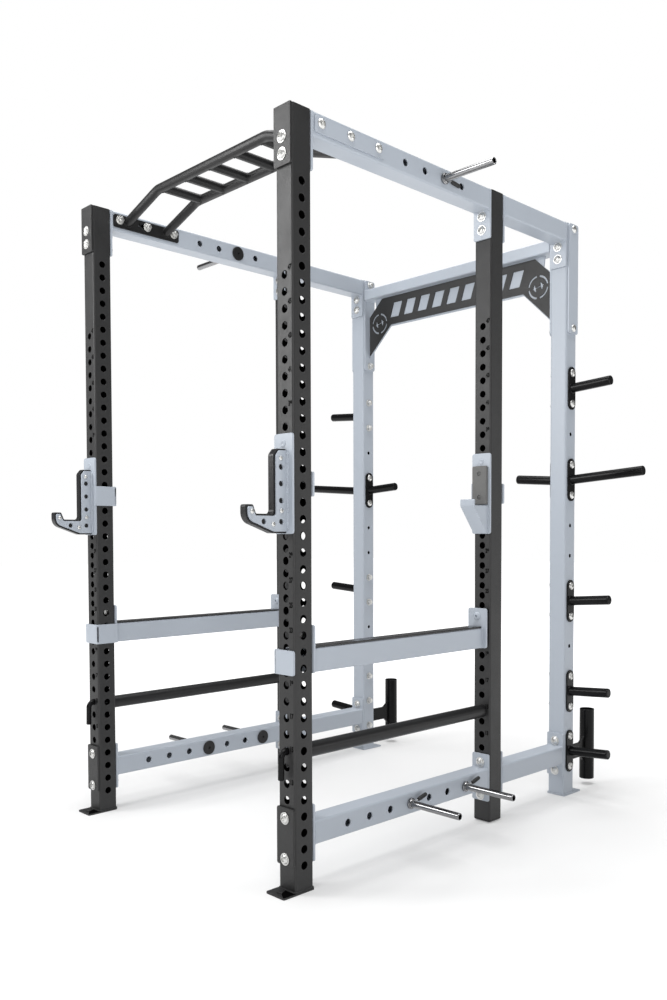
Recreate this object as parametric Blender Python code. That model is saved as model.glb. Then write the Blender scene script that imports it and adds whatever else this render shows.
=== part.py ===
"""Power cage: six 3 x 3 in uprights bolted together by flanged crossmembers, with a
multi-grip pull-up bar, weight storage pegs, band pegs, J-cups, flip-down safety bars
and pin-and-pipe safeties. Metres, +Z up, +X right, -Y front, origin on the floor
under the middle of the bounding box."""

import math

import bmesh
import bpy
from mathutils import Matrix, Vector

IN = 0.0254

# ---------------------------------------------------------------- driving sizes
TUBE = 3 * IN                   # square tube, outside
WALL = 0.1875 * IN
CORNER = 0.007                  # outer corner radius of the square tube
GAP = 0.0003                    # fit gap between neighbouring pieces

WIDTH = 49 * IN                 # outside of left upright to outside of right one
DEPTH_FRONT = 39 * IN           # front face of front upright to front face of middle one
DEPTH_REAR = 20.5 * IN          # front face of middle upright to front face of rear one
HEIGHT = 2.390                  # top of the uprights
FOOT_T = 0.25 * IN              # welded foot plate
FOOT_W = 3.35 * IN
FOOT_L = 5 * IN

HOLE_D = 1 * IN                 # hole for pins and band pegs
SIDE_HOLE_D = 0.625 * IN        # bolt hole of the storage rows
HOLE0_Z = 0.0842                # lowest hole of the front rows
PITCH = 2 * IN
PITCH_BENCH = 1.5 * IN          # closer pitch through the bench zone of the front rows
BENCH_START = 11                # number of full pitches below the bench zone
BENCH_COUNT = 14                # number of close pitches in it

BEAM_LOW_Z = 0.1751             # centre heights of the side beams
BEAM_TOP_Z = 2.3512
FLANGE_T = 0.008
FLANGE_LOW = (0.0860, 0.2660)
FLANGE_TOP = (2.2090, 2.3898)
FLANGE_LOW_BOLTS = (0.1060, 0.2330)
FLANGE_TOP_BOLTS = (2.2442, 2.2950)

STORE_Z0 = 0.1250               # lowest hole of the rear storage rows
STORE_PITCH = 5 * IN
STORE_ROWS = 14

PEG_D = 1.5 * IN                # weight peg
PEG_SHORT = 0.1840              # from the upright's face to the peg's end
PEG_LONG = 0.3270
PLATE_T = 0.25 * IN
PEG_PLATE_W = 2 * IN
PEG_TILT = 4.0                  # degrees, outer end up

HOLDER_D = 2.5 * IN             # vertical bar holder
HOLDER_Y = 0.1725               # from the rear face of the upright to its centre
HOLDER_Z = (0.0280, 0.3350)
HOLDER_ARM_Z = 0.1625

BAND_PEG_D = 1 * IN
BAND_PEG_L = 0.2160
BAND_WASHER_D = 0.060

PULLUP_D = 0.0350
PULLUP_Z = 2.4275
PULLUP_Y = (0.1524, 0.3334)     # from the front face of the front uprights
PULLUP_BEND = 0.3250
PULLUP_STEP = 0.1465

JCUP_W = 0.0840
JCUP_Z = (1.1060, 1.4100)
JCUP_STRAP_Z = (1.2210, 1.2975)

SAFETY_Z = (0.6750, 0.7512)
SAFETY_TOP = 0.8250
SAFETY_END = 0.9680             # rear face of the safety's rear flange

PIN_D = 0.875 * IN
PIPE_OD = 0.0483
PIPE_ID = 0.0441
ROD_D = 0.0222

HOOK_REACH = 0.1650             # how far the J-cup reaches in front of the uprights
REAR_REACH = DEPTH_FRONT + DEPTH_REAR + TUBE + HOLDER_Y + HOLDER_D / 2
FRONT = -(REAR_REACH - HOOK_REACH) / 2   # y of the front face of the front uprights
HALF = WIDTH / 2
CX = HALF - TUBE / 2            # x of an upright's centre line
INNER = HALF - TUBE
MID = FRONT + DEPTH_FRONT       # front faces of the middle and rear uprights
REAR = MID + DEPTH_REAR


def front_row():
    """Heights of the holes in the front faces of the black uprights."""
    rows = [HOLE0_Z + PITCH * k for k in range(BENCH_START + 1)]
    rows += [rows[-1] + PITCH_BENCH * (k + 1) for k in range(BENCH_COUNT)]
    rows += [rows[-1] + PITCH * (k + 1) for k in range(14)]
    return rows


ROWS = front_row()
ROD_Z = ROWS[7]
SAFETY_PIN_Z = ROWS[15]
JCUP_PIN_Z = ROWS[29]
PIPE_Z = ROD_Z - (PIPE_ID - ROD_D) / 2 + 0.0006

# ---------------------------------------------------------------- scene set-up
for old in list(bpy.data.objects):
    bpy.data.objects.remove(old, do_unlink=True)
for old in list(bpy.data.collections):
    bpy.data.collections.remove(old)

PARTS = bpy.data.collections.new("power_cage")
TOOLS = bpy.data.collections.new("cutters")
TOOLS.hide_render = True
bpy.context.scene.collection.children.link(PARTS)
bpy.context.scene.collection.children.link(TOOLS)


def material(name, colour, roughness, metallic=0.0):
    mat = bpy.data.materials.new(name)
    mat.use_nodes = True
    node = mat.node_tree.nodes["Principled BSDF"]
    node.inputs["Base Color"].default_value = (*colour, 1.0)
    node.inputs["Roughness"].default_value = roughness
    node.inputs["Metallic"].default_value = metallic
    mat.diffuse_color = (*colour, 1.0)
    return mat


GREY = (0.47, 0.52, 0.59)
BLACK = (0.045, 0.045, 0.047)
STEEL = (0.75, 0.75, 0.76)


def paint(node_name, colour, roughness, metallic=0.0):
    return material("m_" + node_name, colour, roughness, metallic)


# ---------------------------------------------------------------- mesh helpers
def finish(bm, name, matrix=None):
    if matrix is not None:
        bmesh.ops.transform(bm, matrix=matrix, verts=bm.verts)
    bmesh.ops.remove_doubles(bm, verts=bm.verts, dist=1e-6)
    bmesh.ops.recalc_face_normals(bm, faces=bm.faces)
    mesh = bpy.data.meshes.new(name)
    bm.to_mesh(mesh)
    bm.free()
    return mesh


def shade(mesh, degrees=38):
    mesh.shade_smooth()
    mesh.set_sharp_from_angle(angle=math.radians(degrees))


def box(x, y, z, bevel=0.0, axis="z", segments=2):
    """A block between the given (low, high) pairs; bevel rounds its edges along axis."""
    bm = bmesh.new()
    size = Vector((x[1] - x[0], y[1] - y[0], z[1] - z[0]))
    middle = Vector(((x[0] + x[1]) / 2, (y[0] + y[1]) / 2, (z[0] + z[1]) / 2))
    bmesh.ops.create_cube(bm, size=1.0, matrix=Matrix.Translation(middle) @ Matrix.Diagonal((*size, 1.0)))
    if bevel:
        along = "xyz".index(axis)
        edges = [e for e in bm.edges
                 if abs((e.verts[0].co - e.verts[1].co)[along]) > 1e-6]
        bmesh.ops.bevel(bm, geom=edges, offset=bevel, segments=segments, profile=0.5,
                        affect="EDGES")
    return finish(bm, "block")


TURN = {"x": Matrix.Rotation(math.radians(90), 4, "Y"),
        "y": Matrix.Rotation(math.radians(90), 4, "X"),
        "z": Matrix.Identity(4)}


def rod(diameter, low, high, axis, at, sides=20, tip=0.0):
    """A cylinder from low to high along axis; at gives the other two coordinates."""
    bm = bmesh.new()
    bmesh.ops.create_cone(bm, cap_ends=True, segments=sides, radius1=diameter / 2,
                          radius2=diameter / 2, depth=high - low)
    if tip:
        ends = [e for e in bm.edges if abs(e.verts[0].co.z - e.verts[1].co.z) < 1e-9]
        bmesh.ops.bevel(bm, geom=ends, offset=tip, segments=1, affect="EDGES")
    centre = [at[0], at[1]]
    centre.insert("xyz".index(axis), (low + high) / 2)
    turn = Matrix.Rotation(math.pi / sides, 4, "Z")
    return finish(bm, "rod", Matrix.Translation(centre) @ TURN[axis] @ turn)


def rounded(points, radius, segments=3):
    """The polygon with each corner replaced by an arc; radius is one number or a list."""
    out = []
    count = len(points)
    for i, here in enumerate(points):
        r = radius[i] if isinstance(radius, (list, tuple)) else radius
        p = Vector(here)
        if r <= 0:
            out.append(p)
            continue
        a = (Vector(points[i - 1]) - p).normalized()
        b = (Vector(points[(i + 1) % count]) - p).normalized()
        half = a.angle(b) / 2
        reach = r / math.tan(half)
        centre = p + (a + b).normalized() * (r / math.sin(half))
        start, stop = p + a * reach - centre, p + b * reach - centre
        sweep = start.angle_signed(stop)
        for k in range(segments + 1):
            turned = start.copy()
            turned.rotate(Matrix.Rotation(-sweep * k / segments, 2))
            out.append(centre + turned)
    return out


def sheet(points, thickness, plane, middle):
    """A flat plate cut to an outline. plane 'yz' stands across x, 'xz' across y,
    'xy' across z; middle is the plate's mid plane along that axis."""
    curve = bpy.data.curves.new("outline", "CURVE")
    curve.dimensions = "2D"
    curve.fill_mode = "BOTH"
    curve.extrude = thickness / 2
    spline = curve.splines.new("POLY")
    spline.points.add(len(points) - 1)
    for slot, (u, v) in zip(spline.points, points):
        slot.co = (u, v, 0.0, 1.0)
    spline.use_cyclic_u = True
    helper = bpy.data.objects.new("outline", curve)
    TOOLS.objects.link(helper)
    bpy.context.view_layer.update()
    flat = bpy.data.meshes.new_from_object(helper.evaluated_get(bpy.context.evaluated_depsgraph_get()))
    bpy.data.objects.remove(helper)
    bpy.data.curves.remove(curve)
    bm = bmesh.new()
    bm.from_mesh(flat)
    bpy.data.meshes.remove(flat)
    if plane == "yz":
        frame = Matrix(((0, 0, 1, middle), (1, 0, 0, 0), (0, 1, 0, 0), (0, 0, 0, 1)))
    elif plane == "xz":
        frame = Matrix(((1, 0, 0, 0), (0, 0, -1, middle), (0, 1, 0, 0), (0, 0, 0, 1)))
    else:
        frame = Matrix.Translation((0, 0, middle))
    bmesh.ops.remove_doubles(bm, verts=bm.verts, dist=1e-6)
    bmesh.ops.dissolve_limit(bm, angle_limit=math.radians(0.5), verts=bm.verts, edges=bm.edges)
    return finish(bm, "sheet", frame)


def swept(points, diameter, resolution=3):
    """A round bar along a polyline."""
    curve = bpy.data.curves.new("path", "CURVE")
    curve.dimensions = "3D"
    curve.bevel_depth = diameter / 2
    curve.bevel_resolution = resolution
    curve.use_fill_caps = True
    spline = curve.splines.new("POLY")
    spline.points.add(len(points) - 1)
    for slot, co in zip(spline.points, points):
        slot.co = (*co, 1.0)
    helper = bpy.data.objects.new("path", curve)
    TOOLS.objects.link(helper)
    bpy.context.view_layer.update()
    flat = bpy.data.meshes.new_from_object(helper.evaluated_get(bpy.context.evaluated_depsgraph_get()))
    bpy.data.objects.remove(helper)
    bpy.data.curves.remove(curve)
    bm = bmesh.new()
    bm.from_mesh(flat)
    bpy.data.meshes.remove(flat)
    return finish(bm, "swept")


def arc_path(before, corner, after, radius, steps=4):
    """Points that turn the corner between two straight runs with the given radius."""
    a = (Vector(before) - Vector(corner)).normalized()
    b = (Vector(after) - Vector(corner)).normalized()
    half = a.angle(b) / 2
    reach = radius / math.tan(half)
    centre = Vector(corner) + (a + b).normalized() * (radius / math.sin(half))
    start = Vector(corner) + a * reach - centre
    stop = Vector(corner) + b * reach - centre
    out = []
    for k in range(steps + 1):
        out.append(tuple(centre + start.slerp(stop, k / steps).normalized() * radius))
    return out


def tool(name, mesh):
    helper = bpy.data.objects.new(name, mesh)
    helper.hide_render = True
    helper.display_type = "WIRE"
    TOOLS.objects.link(helper)
    return helper


def node(name, first, mat, add=(), cut=(), origin=(0, 0, 0), parent=None, smooth=38):
    """A named piece: the first mesh, joined with the added ones and then cut."""
    obj = bpy.data.objects.new(name, first)
    PARTS.objects.link(obj)
    first.materials.append(mat)
    for i, mesh in enumerate(add):
        mod = obj.modifiers.new("join_%d" % i, "BOOLEAN")
        mod.operation, mod.solver = "UNION", "EXACT"
        mod.object = tool("%s_join_%d" % (name, i), mesh)
    for i, mesh in enumerate(cut):
        mod = obj.modifiers.new("cut_%d" % i, "BOOLEAN")
        mod.operation, mod.solver = "DIFFERENCE", "EXACT"
        mod.object = tool("%s_cut_%d" % (name, i), mesh)
    if parent is not None or tuple(origin) != (0, 0, 0):
        shift = Matrix.Translation(-Vector(origin))
        first.transform(shift)
        obj.location = origin
    if parent is not None:
        obj.location = Vector(origin) - parent.location
        obj.parent = parent
    if smooth:
        shade(first, smooth)
    return obj


def baked(first, add=(), cut=()):
    """The joined and cut mesh, for pieces that are placed several times."""
    obj = node("temporary", first, bpy.data.materials.get("none") or bpy.data.materials.new("none"),
               add, cut)
    helpers = [m.object for m in obj.modifiers]
    bpy.context.view_layer.update()
    mesh = bpy.data.meshes.new_from_object(obj.evaluated_get(bpy.context.evaluated_depsgraph_get()))
    for helper in [obj] + helpers:
        bpy.data.objects.remove(helper)
    bm = bmesh.new()
    bm.from_mesh(mesh)
    bmesh.ops.remove_doubles(bm, verts=bm.verts, dist=1e-6)
    bm.to_mesh(mesh)
    bm.free()
    mesh.materials.clear()
    shade(mesh)
    return mesh


def copy_of(mesh, name, mat, matrix):
    obj = bpy.data.objects.new(name, mesh)
    if not mesh.materials:
        mesh.materials.append(mat)
    PARTS.objects.link(obj)
    obj.matrix_world = matrix
    obj.material_slots[0].link = "OBJECT"
    obj.material_slots[0].material = mat
    return obj


def pivot(name, at):
    empty = bpy.data.objects.new(name, None)
    empty.empty_display_size = 0.05
    empty.location = at
    PARTS.objects.link(empty)
    return empty


def side_name(s):
    return "right" if s > 0 else "left"


def span(s, a, b):
    """An x interval mirrored to side s."""
    return (a, b) if s > 0 else (-b, -a)


# ---------------------------------------------------------------- uprights
def upright(name, s, y0, colour, roughness, foot, holes):
    x = span(s, INNER, HALF)
    y = (y0, y0 + TUBE)
    if foot == "none":
        base = 0.0035
        body = box(x, y, (base, HEIGHT), CORNER)
        add = []
        inner_z = base + 0.009
    else:
        base = 0.001
        body = box(x, y, (base, HEIGHT), CORNER)
        wide = (FOOT_W - TUBE) / 2
        fx = (x[0] - wide, x[1] + wide)
        back = 0.001
        fy = (y0 - 2 * IN, y0 + TUBE + back) if foot == "front" else (y0 - back, y0 + TUBE + 2 * IN)
        add = [box(fx, fy, (0.0, FOOT_T), 0.006)]
        inner_z = FOOT_T + 0.002
    cavity = box((x[0] + WALL, x[1] - WALL), (y[0] + WALL, y[1] - WALL), (inner_z, HEIGHT - 0.004))
    cut = [cavity]
    for axis, z, size in holes:
        if axis == "y":
            cut.append(rod(size, y0 - 0.02, y0 + TUBE + 0.02, "y", (s * CX, z), 12))
        else:
            low, high = x[0] - 0.02, x[1] + 0.02
            cut.append(rod(size, low, high, "x", (y0 + TUBE / 2, z), 6))
    if foot == "front":
        cut.append(rod(0.014, -0.02, 0.02, "z", (s * CX, y0 - 0.030), 8))
    elif foot == "rear":
        cut.append(rod(0.014, -0.02, 0.02, "z", (s * CX, y0 + TUBE + 0.030), 8))
    return node(name, body, paint(name, colour, roughness), add, cut)


PIN_HOLES = [("y", ROD_Z, HOLE_D), ("y", SAFETY_PIN_Z, HOLE_D), ("y", JCUP_PIN_Z, HOLE_D)]
STORE_HOLES = [("x", STORE_Z0 + STORE_PITCH * k, SIDE_HOLE_D) for k in (0, 1, 2, 3, 5, 6, 9, 10, 12, 13)]
for s in (1, -1):
    upright("upright_front_" + side_name(s), s, FRONT, BLACK, 0.55, "front", PIN_HOLES)
    upright("upright_middle_" + side_name(s), s, MID, BLACK, 0.55, "none", PIN_HOLES)
    upright("upright_rear_" + side_name(s), s, REAR, GREY, 0.4, "rear", STORE_HOLES)


# ---------------------------------------------------------------- side beams
def beam(name, s, y0, y1, zc, flange, bolts, holes):
    """A square tube with a flange plate welded on each end."""
    x = span(s, INNER, HALF)
    a, b = y0 + GAP, y1 - GAP
    body = box(x, (a + FLANGE_T / 2, b - FLANGE_T / 2), (zc - TUBE / 2, zc + TUBE / 2), CORNER, "y")
    plates = [box(x, (a, a + FLANGE_T), flange, 0.006, "y"),
              box(x, (b - FLANGE_T, b), flange, 0.006, "y")]
    wall = WALL * 0.9
    cut = [box((x[0] + wall, x[1] - wall), (a + FLANGE_T, b - FLANGE_T),
               (zc - TUBE / 2 + wall, zc + TUBE / 2 - wall))]
    for y in holes:
        cut.append(rod(HOLE_D, x[0] - 0.02, x[1] + 0.02, "x", (y, zc), 12))
    for z in bolts:
        for low in (a - 0.01, b - 0.02):
            cut.append(rod(0.0170, low, low + 0.03, "y", (s * CX, z), 6))
    cut.append(rod(HOLE_D, b - 0.02, b + 0.01, "y", (s * CX, zc), 8))
    return node(name, body, paint(name, GREY, 0.4), plates, cut)


TOP_PEG = FRONT + 28 * IN
LOW_PEGS = [FRONT + 21 * IN, FRONT + 33 * IN]
BRACKET_BOLTS = [FRONT + k * IN for k in (4.5, 9.5, 14.5)]
for s in (1, -1):
    w = side_name(s)
    beam("side_beam_top_front_" + w, s, FRONT + TUBE, MID, BEAM_TOP_Z, FLANGE_TOP, FLANGE_TOP_BOLTS, [TOP_PEG])
    beam("side_beam_top_rear_" + w, s, MID + TUBE, REAR, BEAM_TOP_Z, FLANGE_TOP, FLANGE_TOP_BOLTS, [])
    beam("side_beam_bottom_front_" + w, s, FRONT + TUBE, MID, BEAM_LOW_Z, FLANGE_LOW, FLANGE_LOW_BOLTS, LOW_PEGS)
    beam("side_beam_bottom_rear_" + w, s, MID + TUBE, REAR, BEAM_LOW_Z, FLANGE_LOW, FLANGE_LOW_BOLTS, [])


# ---------------------------------------------------------------- backing plates
def plate_with_holes(name, s, x, y, z, holes, axis, colour, roughness, bevel=0.006):
    body = box(x, y, z, bevel, axis)
    cut = []
    for u, v in holes:
        if axis == "y":
            cut.append(rod(0.0170, y[0] - 0.01, y[1] + 0.01, "y", (u, v), 8))
        else:
            cut.append(rod(0.0170, x[0] - 0.01, x[1] + 0.01, "x", (u, v), 8))
    return node(name, body, paint(name, colour, roughness), (), cut)


for s in (1, -1):
    w = side_name(s)
    face = (FRONT - GAP - FLANGE_T, FRONT - GAP)
    plate_with_holes("front_plate_top_" + w, s, span(s, INNER, HALF), face, (FLANGE_TOP[0], HEIGHT),
                     [(s * CX, z) for z in FLANGE_TOP_BOLTS], "y", BLACK, 0.5)
    plate_with_holes("front_plate_bottom_" + w, s, span(s, INNER, HALF), face, FLANGE_LOW,
                     [(s * CX, z) for z in FLANGE_LOW_BOLTS], "y", BLACK, 0.5)
    plate_with_holes("rear_side_plate_" + w, s, span(s, HALF + GAP, HALF + GAP + FLANGE_T),
                     (REAR, REAR + TUBE), (1.9370, 2.3880),
                     [(REAR + TUBE / 2, 1.9610), (REAR + TUBE / 2, 2.3674)], "x", GREY, 0.4)
    plate_with_holes("pullup_outer_plate_" + w, s, span(s, HALF + GAP, HALF + GAP + PLATE_T),
                     (FRONT + 0.0880, FRONT + 0.3950), (BEAM_TOP_Z - 1 * IN, BEAM_TOP_Z + 1 * IN),
                     [(y, BEAM_TOP_Z) for y in BRACKET_BOLTS], "x", GREY, 0.4, 0.009)

# ---------------------------------------------------------------- rear crossmember
CROSS_Z = (2.2860, 2.3368)
END = INNER - GAP
YC = REAR + TUBE / 2
SHEET_Y = (YC - 0.0030, YC + 0.0030)
tube = box((-END + FLANGE_T / 2, END - FLANGE_T / 2), (REAR, REAR + TUBE), CROSS_Z, CORNER * 0.8, "x")
ends = [box(span(s, END - FLANGE_T, END), (REAR, REAR + TUBE), (1.9370, 2.3880), 0.006, "x") for s in (1, -1)]
in_wall = 0.004
END_X = END - FLANGE_T
outline = [(-END_X - 0.003, 2.1990), (-END_X + 0.0480, 2.2400), (-0.4870, 2.2880), (0.4870, 2.2880),
           (END_X - 0.0480, 2.2400), (END_X + 0.003, 2.1990), (END_X + 0.003, 1.9960),
           (0.3900, 2.1380), (-0.3900, 2.1380), (-END_X - 0.003, 1.9960)]
name_back = sheet(outline, SHEET_Y[1] - SHEET_Y[0], "xz", YC)
cut = [box((-END + FLANGE_T, END - FLANGE_T), (REAR + in_wall, REAR + TUBE - in_wall),
           (CROSS_Z[0] + in_wall, CROSS_Z[1] - in_wall))]
for s in (1, -1):
    for z in (1.9610, 2.3674):
        cut.append(rod(0.0170, s * END - 0.03, s * END + 0.03, "x", (YC, z), 8))
    cut.append(rod(0.0170, s * END - 0.03, s * END + 0.03, "x", (YC, (CROSS_Z[0] + CROSS_Z[1]) / 2), 8))
node("rear_crossmember", tube, paint("rear_crossmember", GREY, 0.4), ends + [name_back], cut)

# the cut-through front panel of the crossmember, with plain slanted slots
panel_y = SHEET_Y[0] - GAP - 0.003
panel = sheet([(-0.5310, 2.2020), (-0.4470, 2.2830), (0.4470, 2.2830), (0.5310, 2.2020),
               (0.5310, 2.0080), (0.3870, 2.1460), (-0.3870, 2.1460), (-0.5310, 2.0080)],
              0.0030, "xz", panel_y + 0.0015)
slots = []
for k in range(9):
    u = -0.3520 + k * 0.0880
    bar = [(u - 0.040, 2.1800), (u + 0.016, 2.1800), (u + 0.040, 2.2500), (u - 0.016, 2.2500)]
    slots.append(sheet(bar, 0.03, "xz", panel_y))
for s in (1, -1):
    for low, high in ((12, 168), (192, 348)):
        ring = []
        for k in range(7):
            a = math.radians(low + (high - low) * k / 6)
            ring.append((s * 0.4630 + 0.0500 * math.cos(a), 2.1615 + 0.0500 * math.sin(a)))
        for k in range(6, -1, -1):
            a = math.radians(low + (high - low) * k / 6)
            ring.append((s * 0.4630 + 0.0420 * math.cos(a), 2.1615 + 0.0420 * math.sin(a)))
        slots.append(sheet(ring, 0.03, "xz", panel_y))
node("nameplate", panel, paint("nameplate", BLACK, 0.5), (), slots)

# ---------------------------------------------------------------- pull-up bar
paths = []
for yf in PULLUP_Y:
    y = FRONT + yf
    foot_x, foot_z = INNER - 0.004, BEAM_TOP_Z + 0.004
    left = arc_path((-foot_x, y, foot_z), (-PULLUP_BEND, y, PULLUP_Z), (0, y, PULLUP_Z), 0.085)
    right = arc_path((0, y, PULLUP_Z), (PULLUP_BEND, y, PULLUP_Z), (foot_x, y, foot_z), 0.085)
    paths.append(swept([(-foot_x, y, foot_z)] + left + right + [(foot_x, y, foot_z)], PULLUP_D, 3))
grips = [rod(PULLUP_D - 0.001, FRONT + PULLUP_Y[0], FRONT + PULLUP_Y[1], "y", (PULLUP_STEP * k, PULLUP_Z), 10)
         for k in range(-2, 3)]
brackets = [box(span(s, INNER - GAP - PLATE_T, INNER - GAP), (FRONT + 0.0880, FRONT + 0.3950),
                (BEAM_TOP_Z - 1 * IN, BEAM_TOP_Z + 1 * IN), 0.009, "x") for s in (1, -1)]
trims = [box(span(s, INNER - GAP, INNER + 0.05), (FRONT, FRONT + 0.5), (2.25, 2.5)) for s in (1, -1)]
holes = [rod(0.0170, s * INNER - 0.02, s * INNER + 0.02, "x", (y, BEAM_TOP_Z), 8)
         for s in (1, -1) for y in BRACKET_BOLTS]
node("pullup_bar", paths[0], paint("pullup_bar", BLACK, 0.5), [paths[1]] + brackets + grips, trims + holes)


# ---------------------------------------------------------------- weight pegs
def pill(width, height, segments=6):
    """Outline of a plate with half-round ends, about the origin, in (u, v)."""
    r = width / 2
    out = []
    for centre, start in ((height / 2 - r, 0), (-(height / 2 - r), 180)):
        for k in range(segments + 1):
            a = math.radians(start + 180 * k / segments)
            out.append((r * math.cos(a), centre + r * math.sin(a)))
    return out


def peg_mesh(reach):
    """A peg that points along +X from a plate whose back is at x = 0."""
    plate = sheet(pill(PEG_PLATE_W, 7 * IN), PLATE_T, "yz", PLATE_T / 2)
    bar = rod(PEG_D, 0.001, reach, "x", (0, 0), 16, tip=0.002)
    bar.transform(Matrix.Rotation(math.radians(-PEG_TILT), 4, "Y"))
    cuts = [rod(0.0170, -0.01, 0.03, "x", (0, z), 6) for z in (-2.5 * IN, 2.5 * IN)]
    return baked(plate, [bar], cuts)


SHORT, LONG = peg_mesh(PEG_SHORT - GAP), peg_mesh(PEG_LONG - GAP)
store = [STORE_Z0 + STORE_PITCH * (STORE_ROWS - 1 - i) for i in range(STORE_ROWS)]
for s in (1, -1):
    w = side_name(s)
    outward = Matrix.Identity(4) if s > 0 else Matrix.Rotation(math.pi, 4, "Z")
    inward = Matrix.Rotation(math.pi, 4, "Z") if s > 0 else Matrix.Identity(4)
    for label, row, mesh in (("1", 0, SHORT), ("2", 3, LONG), ("3", 7, SHORT), ("4", 10, SHORT), ("5", 12, SHORT)):
        z = (store[row] + store[row + 1]) / 2
        name = "weight_peg_%s_%s" % (w, label)
        copy_of(mesh, name, paint(name, BLACK, 0.35),
                Matrix.Translation((s * (HALF + GAP), YC, z)) @ outward)
    z = (store[3] + store[4]) / 2
    name = "weight_peg_inner_" + w
    copy_of(SHORT, name, paint(name, BLACK, 0.35),
            Matrix.Translation((s * (INNER - GAP), YC, z)) @ inward)


# ---------------------------------------------------------------- bar holders
def holder(s):
    name = "bar_holder_" + side_name(s)
    x = s * CX
    y0 = REAR + TUBE + GAP
    yc = REAR + TUBE + HOLDER_Y
    z = HOLDER_ARM_Z
    plate = sheet([(x + u, z + v) for u, v in pill(PEG_PLATE_W, 7 * IN)], PLATE_T, "xz", y0 + PLATE_T / 2)
    edge = yc - HOLDER_D / 2 + 0.004
    arm = sheet([(y0 + 0.002, z - 0.031), (edge - 0.030, z - 0.031), (edge, z - 0.057), (edge, z + 0.057),
                 (edge - 0.034, z + 0.031), (y0 + 0.002, z + 0.031)], 0.0120, "yz", x)
    cup = rod(HOLDER_D, HOLDER_Z[0], HOLDER_Z[1], "z", (x, yc), 20)
    cut = [rod(HOLDER_D - 0.0070, HOLDER_Z[0] + 0.004, HOLDER_Z[1] + 0.02, "z", (x, yc), 20)]
    for dz in (-2.5 * IN, 2.5 * IN):
        cut.append(rod(0.0170, y0 - 0.01, y0 + 0.02, "y", (x, z + dz), 8))
    node(name, cup, paint(name, BLACK, 0.4), [arm, plate], cut)


holder(1)
holder(-1)


# ---------------------------------------------------------------- band pegs
def band_peg_mesh():
    """A plated peg along +X: collar on the outer face at x = 0, shank through the beam."""
    bar = rod(BAND_PEG_D - 0.0016, -TUBE - 0.004, BAND_PEG_L, "x", (0, 0), 12)
    collar = rod(0.0380, GAP, 0.0120, "x", (0, 0), 16)
    washer = rod(BAND_WASHER_D, -TUBE - 0.0063, -TUBE - GAP, "x", (0, 0), 16)
    bore = rod(0.0180, BAND_PEG_L - 0.035, BAND_PEG_L + 0.01, "x", (0, 0), 10)
    return baked(bar, [collar, washer], [bore])


BAND = band_peg_mesh()
for s in (1, -1):
    w = side_name(s)
    turn = Matrix.Identity(4) if s > 0 else Matrix.Rotation(math.pi, 4, "Z")
    for label, y, z in (("top", TOP_PEG, BEAM_TOP_Z), ("bottom_front", LOW_PEGS[0], BEAM_LOW_Z),
                        ("bottom_rear", LOW_PEGS[1], BEAM_LOW_Z)):
        name = "band_peg_%s_%s" % (label, w)
        copy_of(BAND, name, paint(name, STEEL, 0.15, 1.0), Matrix.Translation((s * HALF, y, z)) @ turn)


# ---------------------------------------------------------------- J-cups
def jcup_sandwich(s):
    """Hook of two steel cheeks with a plastic core, on a back plate with a pin."""
    w = side_name(s)
    y0, yb = FRONT - GAP, FRONT - GAP - FLANGE_T
    axis = (s * CX, FRONT, JCUP_PIN_Z)
    hub = pivot("jcup_front_%s_pivot" % w, axis)
    back = box((s * CX - JCUP_W / 2, s * CX + JCUP_W / 2), (yb, y0), JCUP_Z, 0.008, "y")
    strap = box(span(s, CX - JCUP_W / 2 - 0.004, INNER - GAP), (yb + 0.001, FRONT + TUBE + GAP + FLANGE_T), JCUP_STRAP_Z)
    lip = box(span(s, CX - JCUP_W / 2 - 0.004, HALF - 0.001), (FRONT + TUBE + GAP, FRONT + TUBE + GAP + FLANGE_T),
              JCUP_STRAP_Z, 0.005, "y")
    f = FRONT
    cheek_line = rounded([(yb + 0.002, 1.1130), (f - 0.0600, 1.1130), (f - 0.1590, 1.1485), (f - 0.1590, 1.1870),
                          (f - 0.1430, 1.1870), (f - 0.1310, 1.1600), (f - 0.0520, 1.1600), (f - 0.0520, 1.3400),
                          (f - 0.0400, 1.3570), (yb + 0.002, 1.3570)],
                         [0, 0.020, 0.014, 0.005, 0.004, 0.003, 0.010, 0.010, 0.006, 0], 3)
    cheeks = []
    for side in (1, -1):
        cheek = sheet([tuple(p) for p in cheek_line], 0.25 * IN, "yz",
                      s * CX + side * (0.5 * IN + GAP + 0.125 * IN))
        cheeks.append(cheek)
    pin = rod(PIN_D, y0 - 0.004, FRONT + 0.045, "y", (s * CX, JCUP_PIN_Z), 16, tip=0.002)
    node("jcup_front_%s" % w, back, paint("jcup_front_" + w, GREY, 0.4), [strap, lip, pin] + cheeks, (),
         axis, hub)
    core_line = rounded([(yb - GAP, 1.1080), (f - 0.0620, 1.1080), (f - HOOK_REACH, 1.1440), (f - HOOK_REACH, 1.1930),
                         (f - 0.1360, 1.1930), (f - 0.1250, 1.1660), (f - 0.0580, 1.1660), (f - 0.0580, 1.3440),
                         (f - 0.0430, 1.3620), (yb - GAP, 1.3620)],
                        [0, 0.022, 0.016, 0.006, 0.006, 0.003, 0.012, 0.014, 0.008, 0], 3)
    core = sheet([tuple(p) for p in core_line], 1 * IN, "yz", s * CX)
    node("jcup_liner_front_%s" % w, core, paint("jcup_liner_front_" + w, BLACK, 0.45), (), (), axis, hub)


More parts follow.
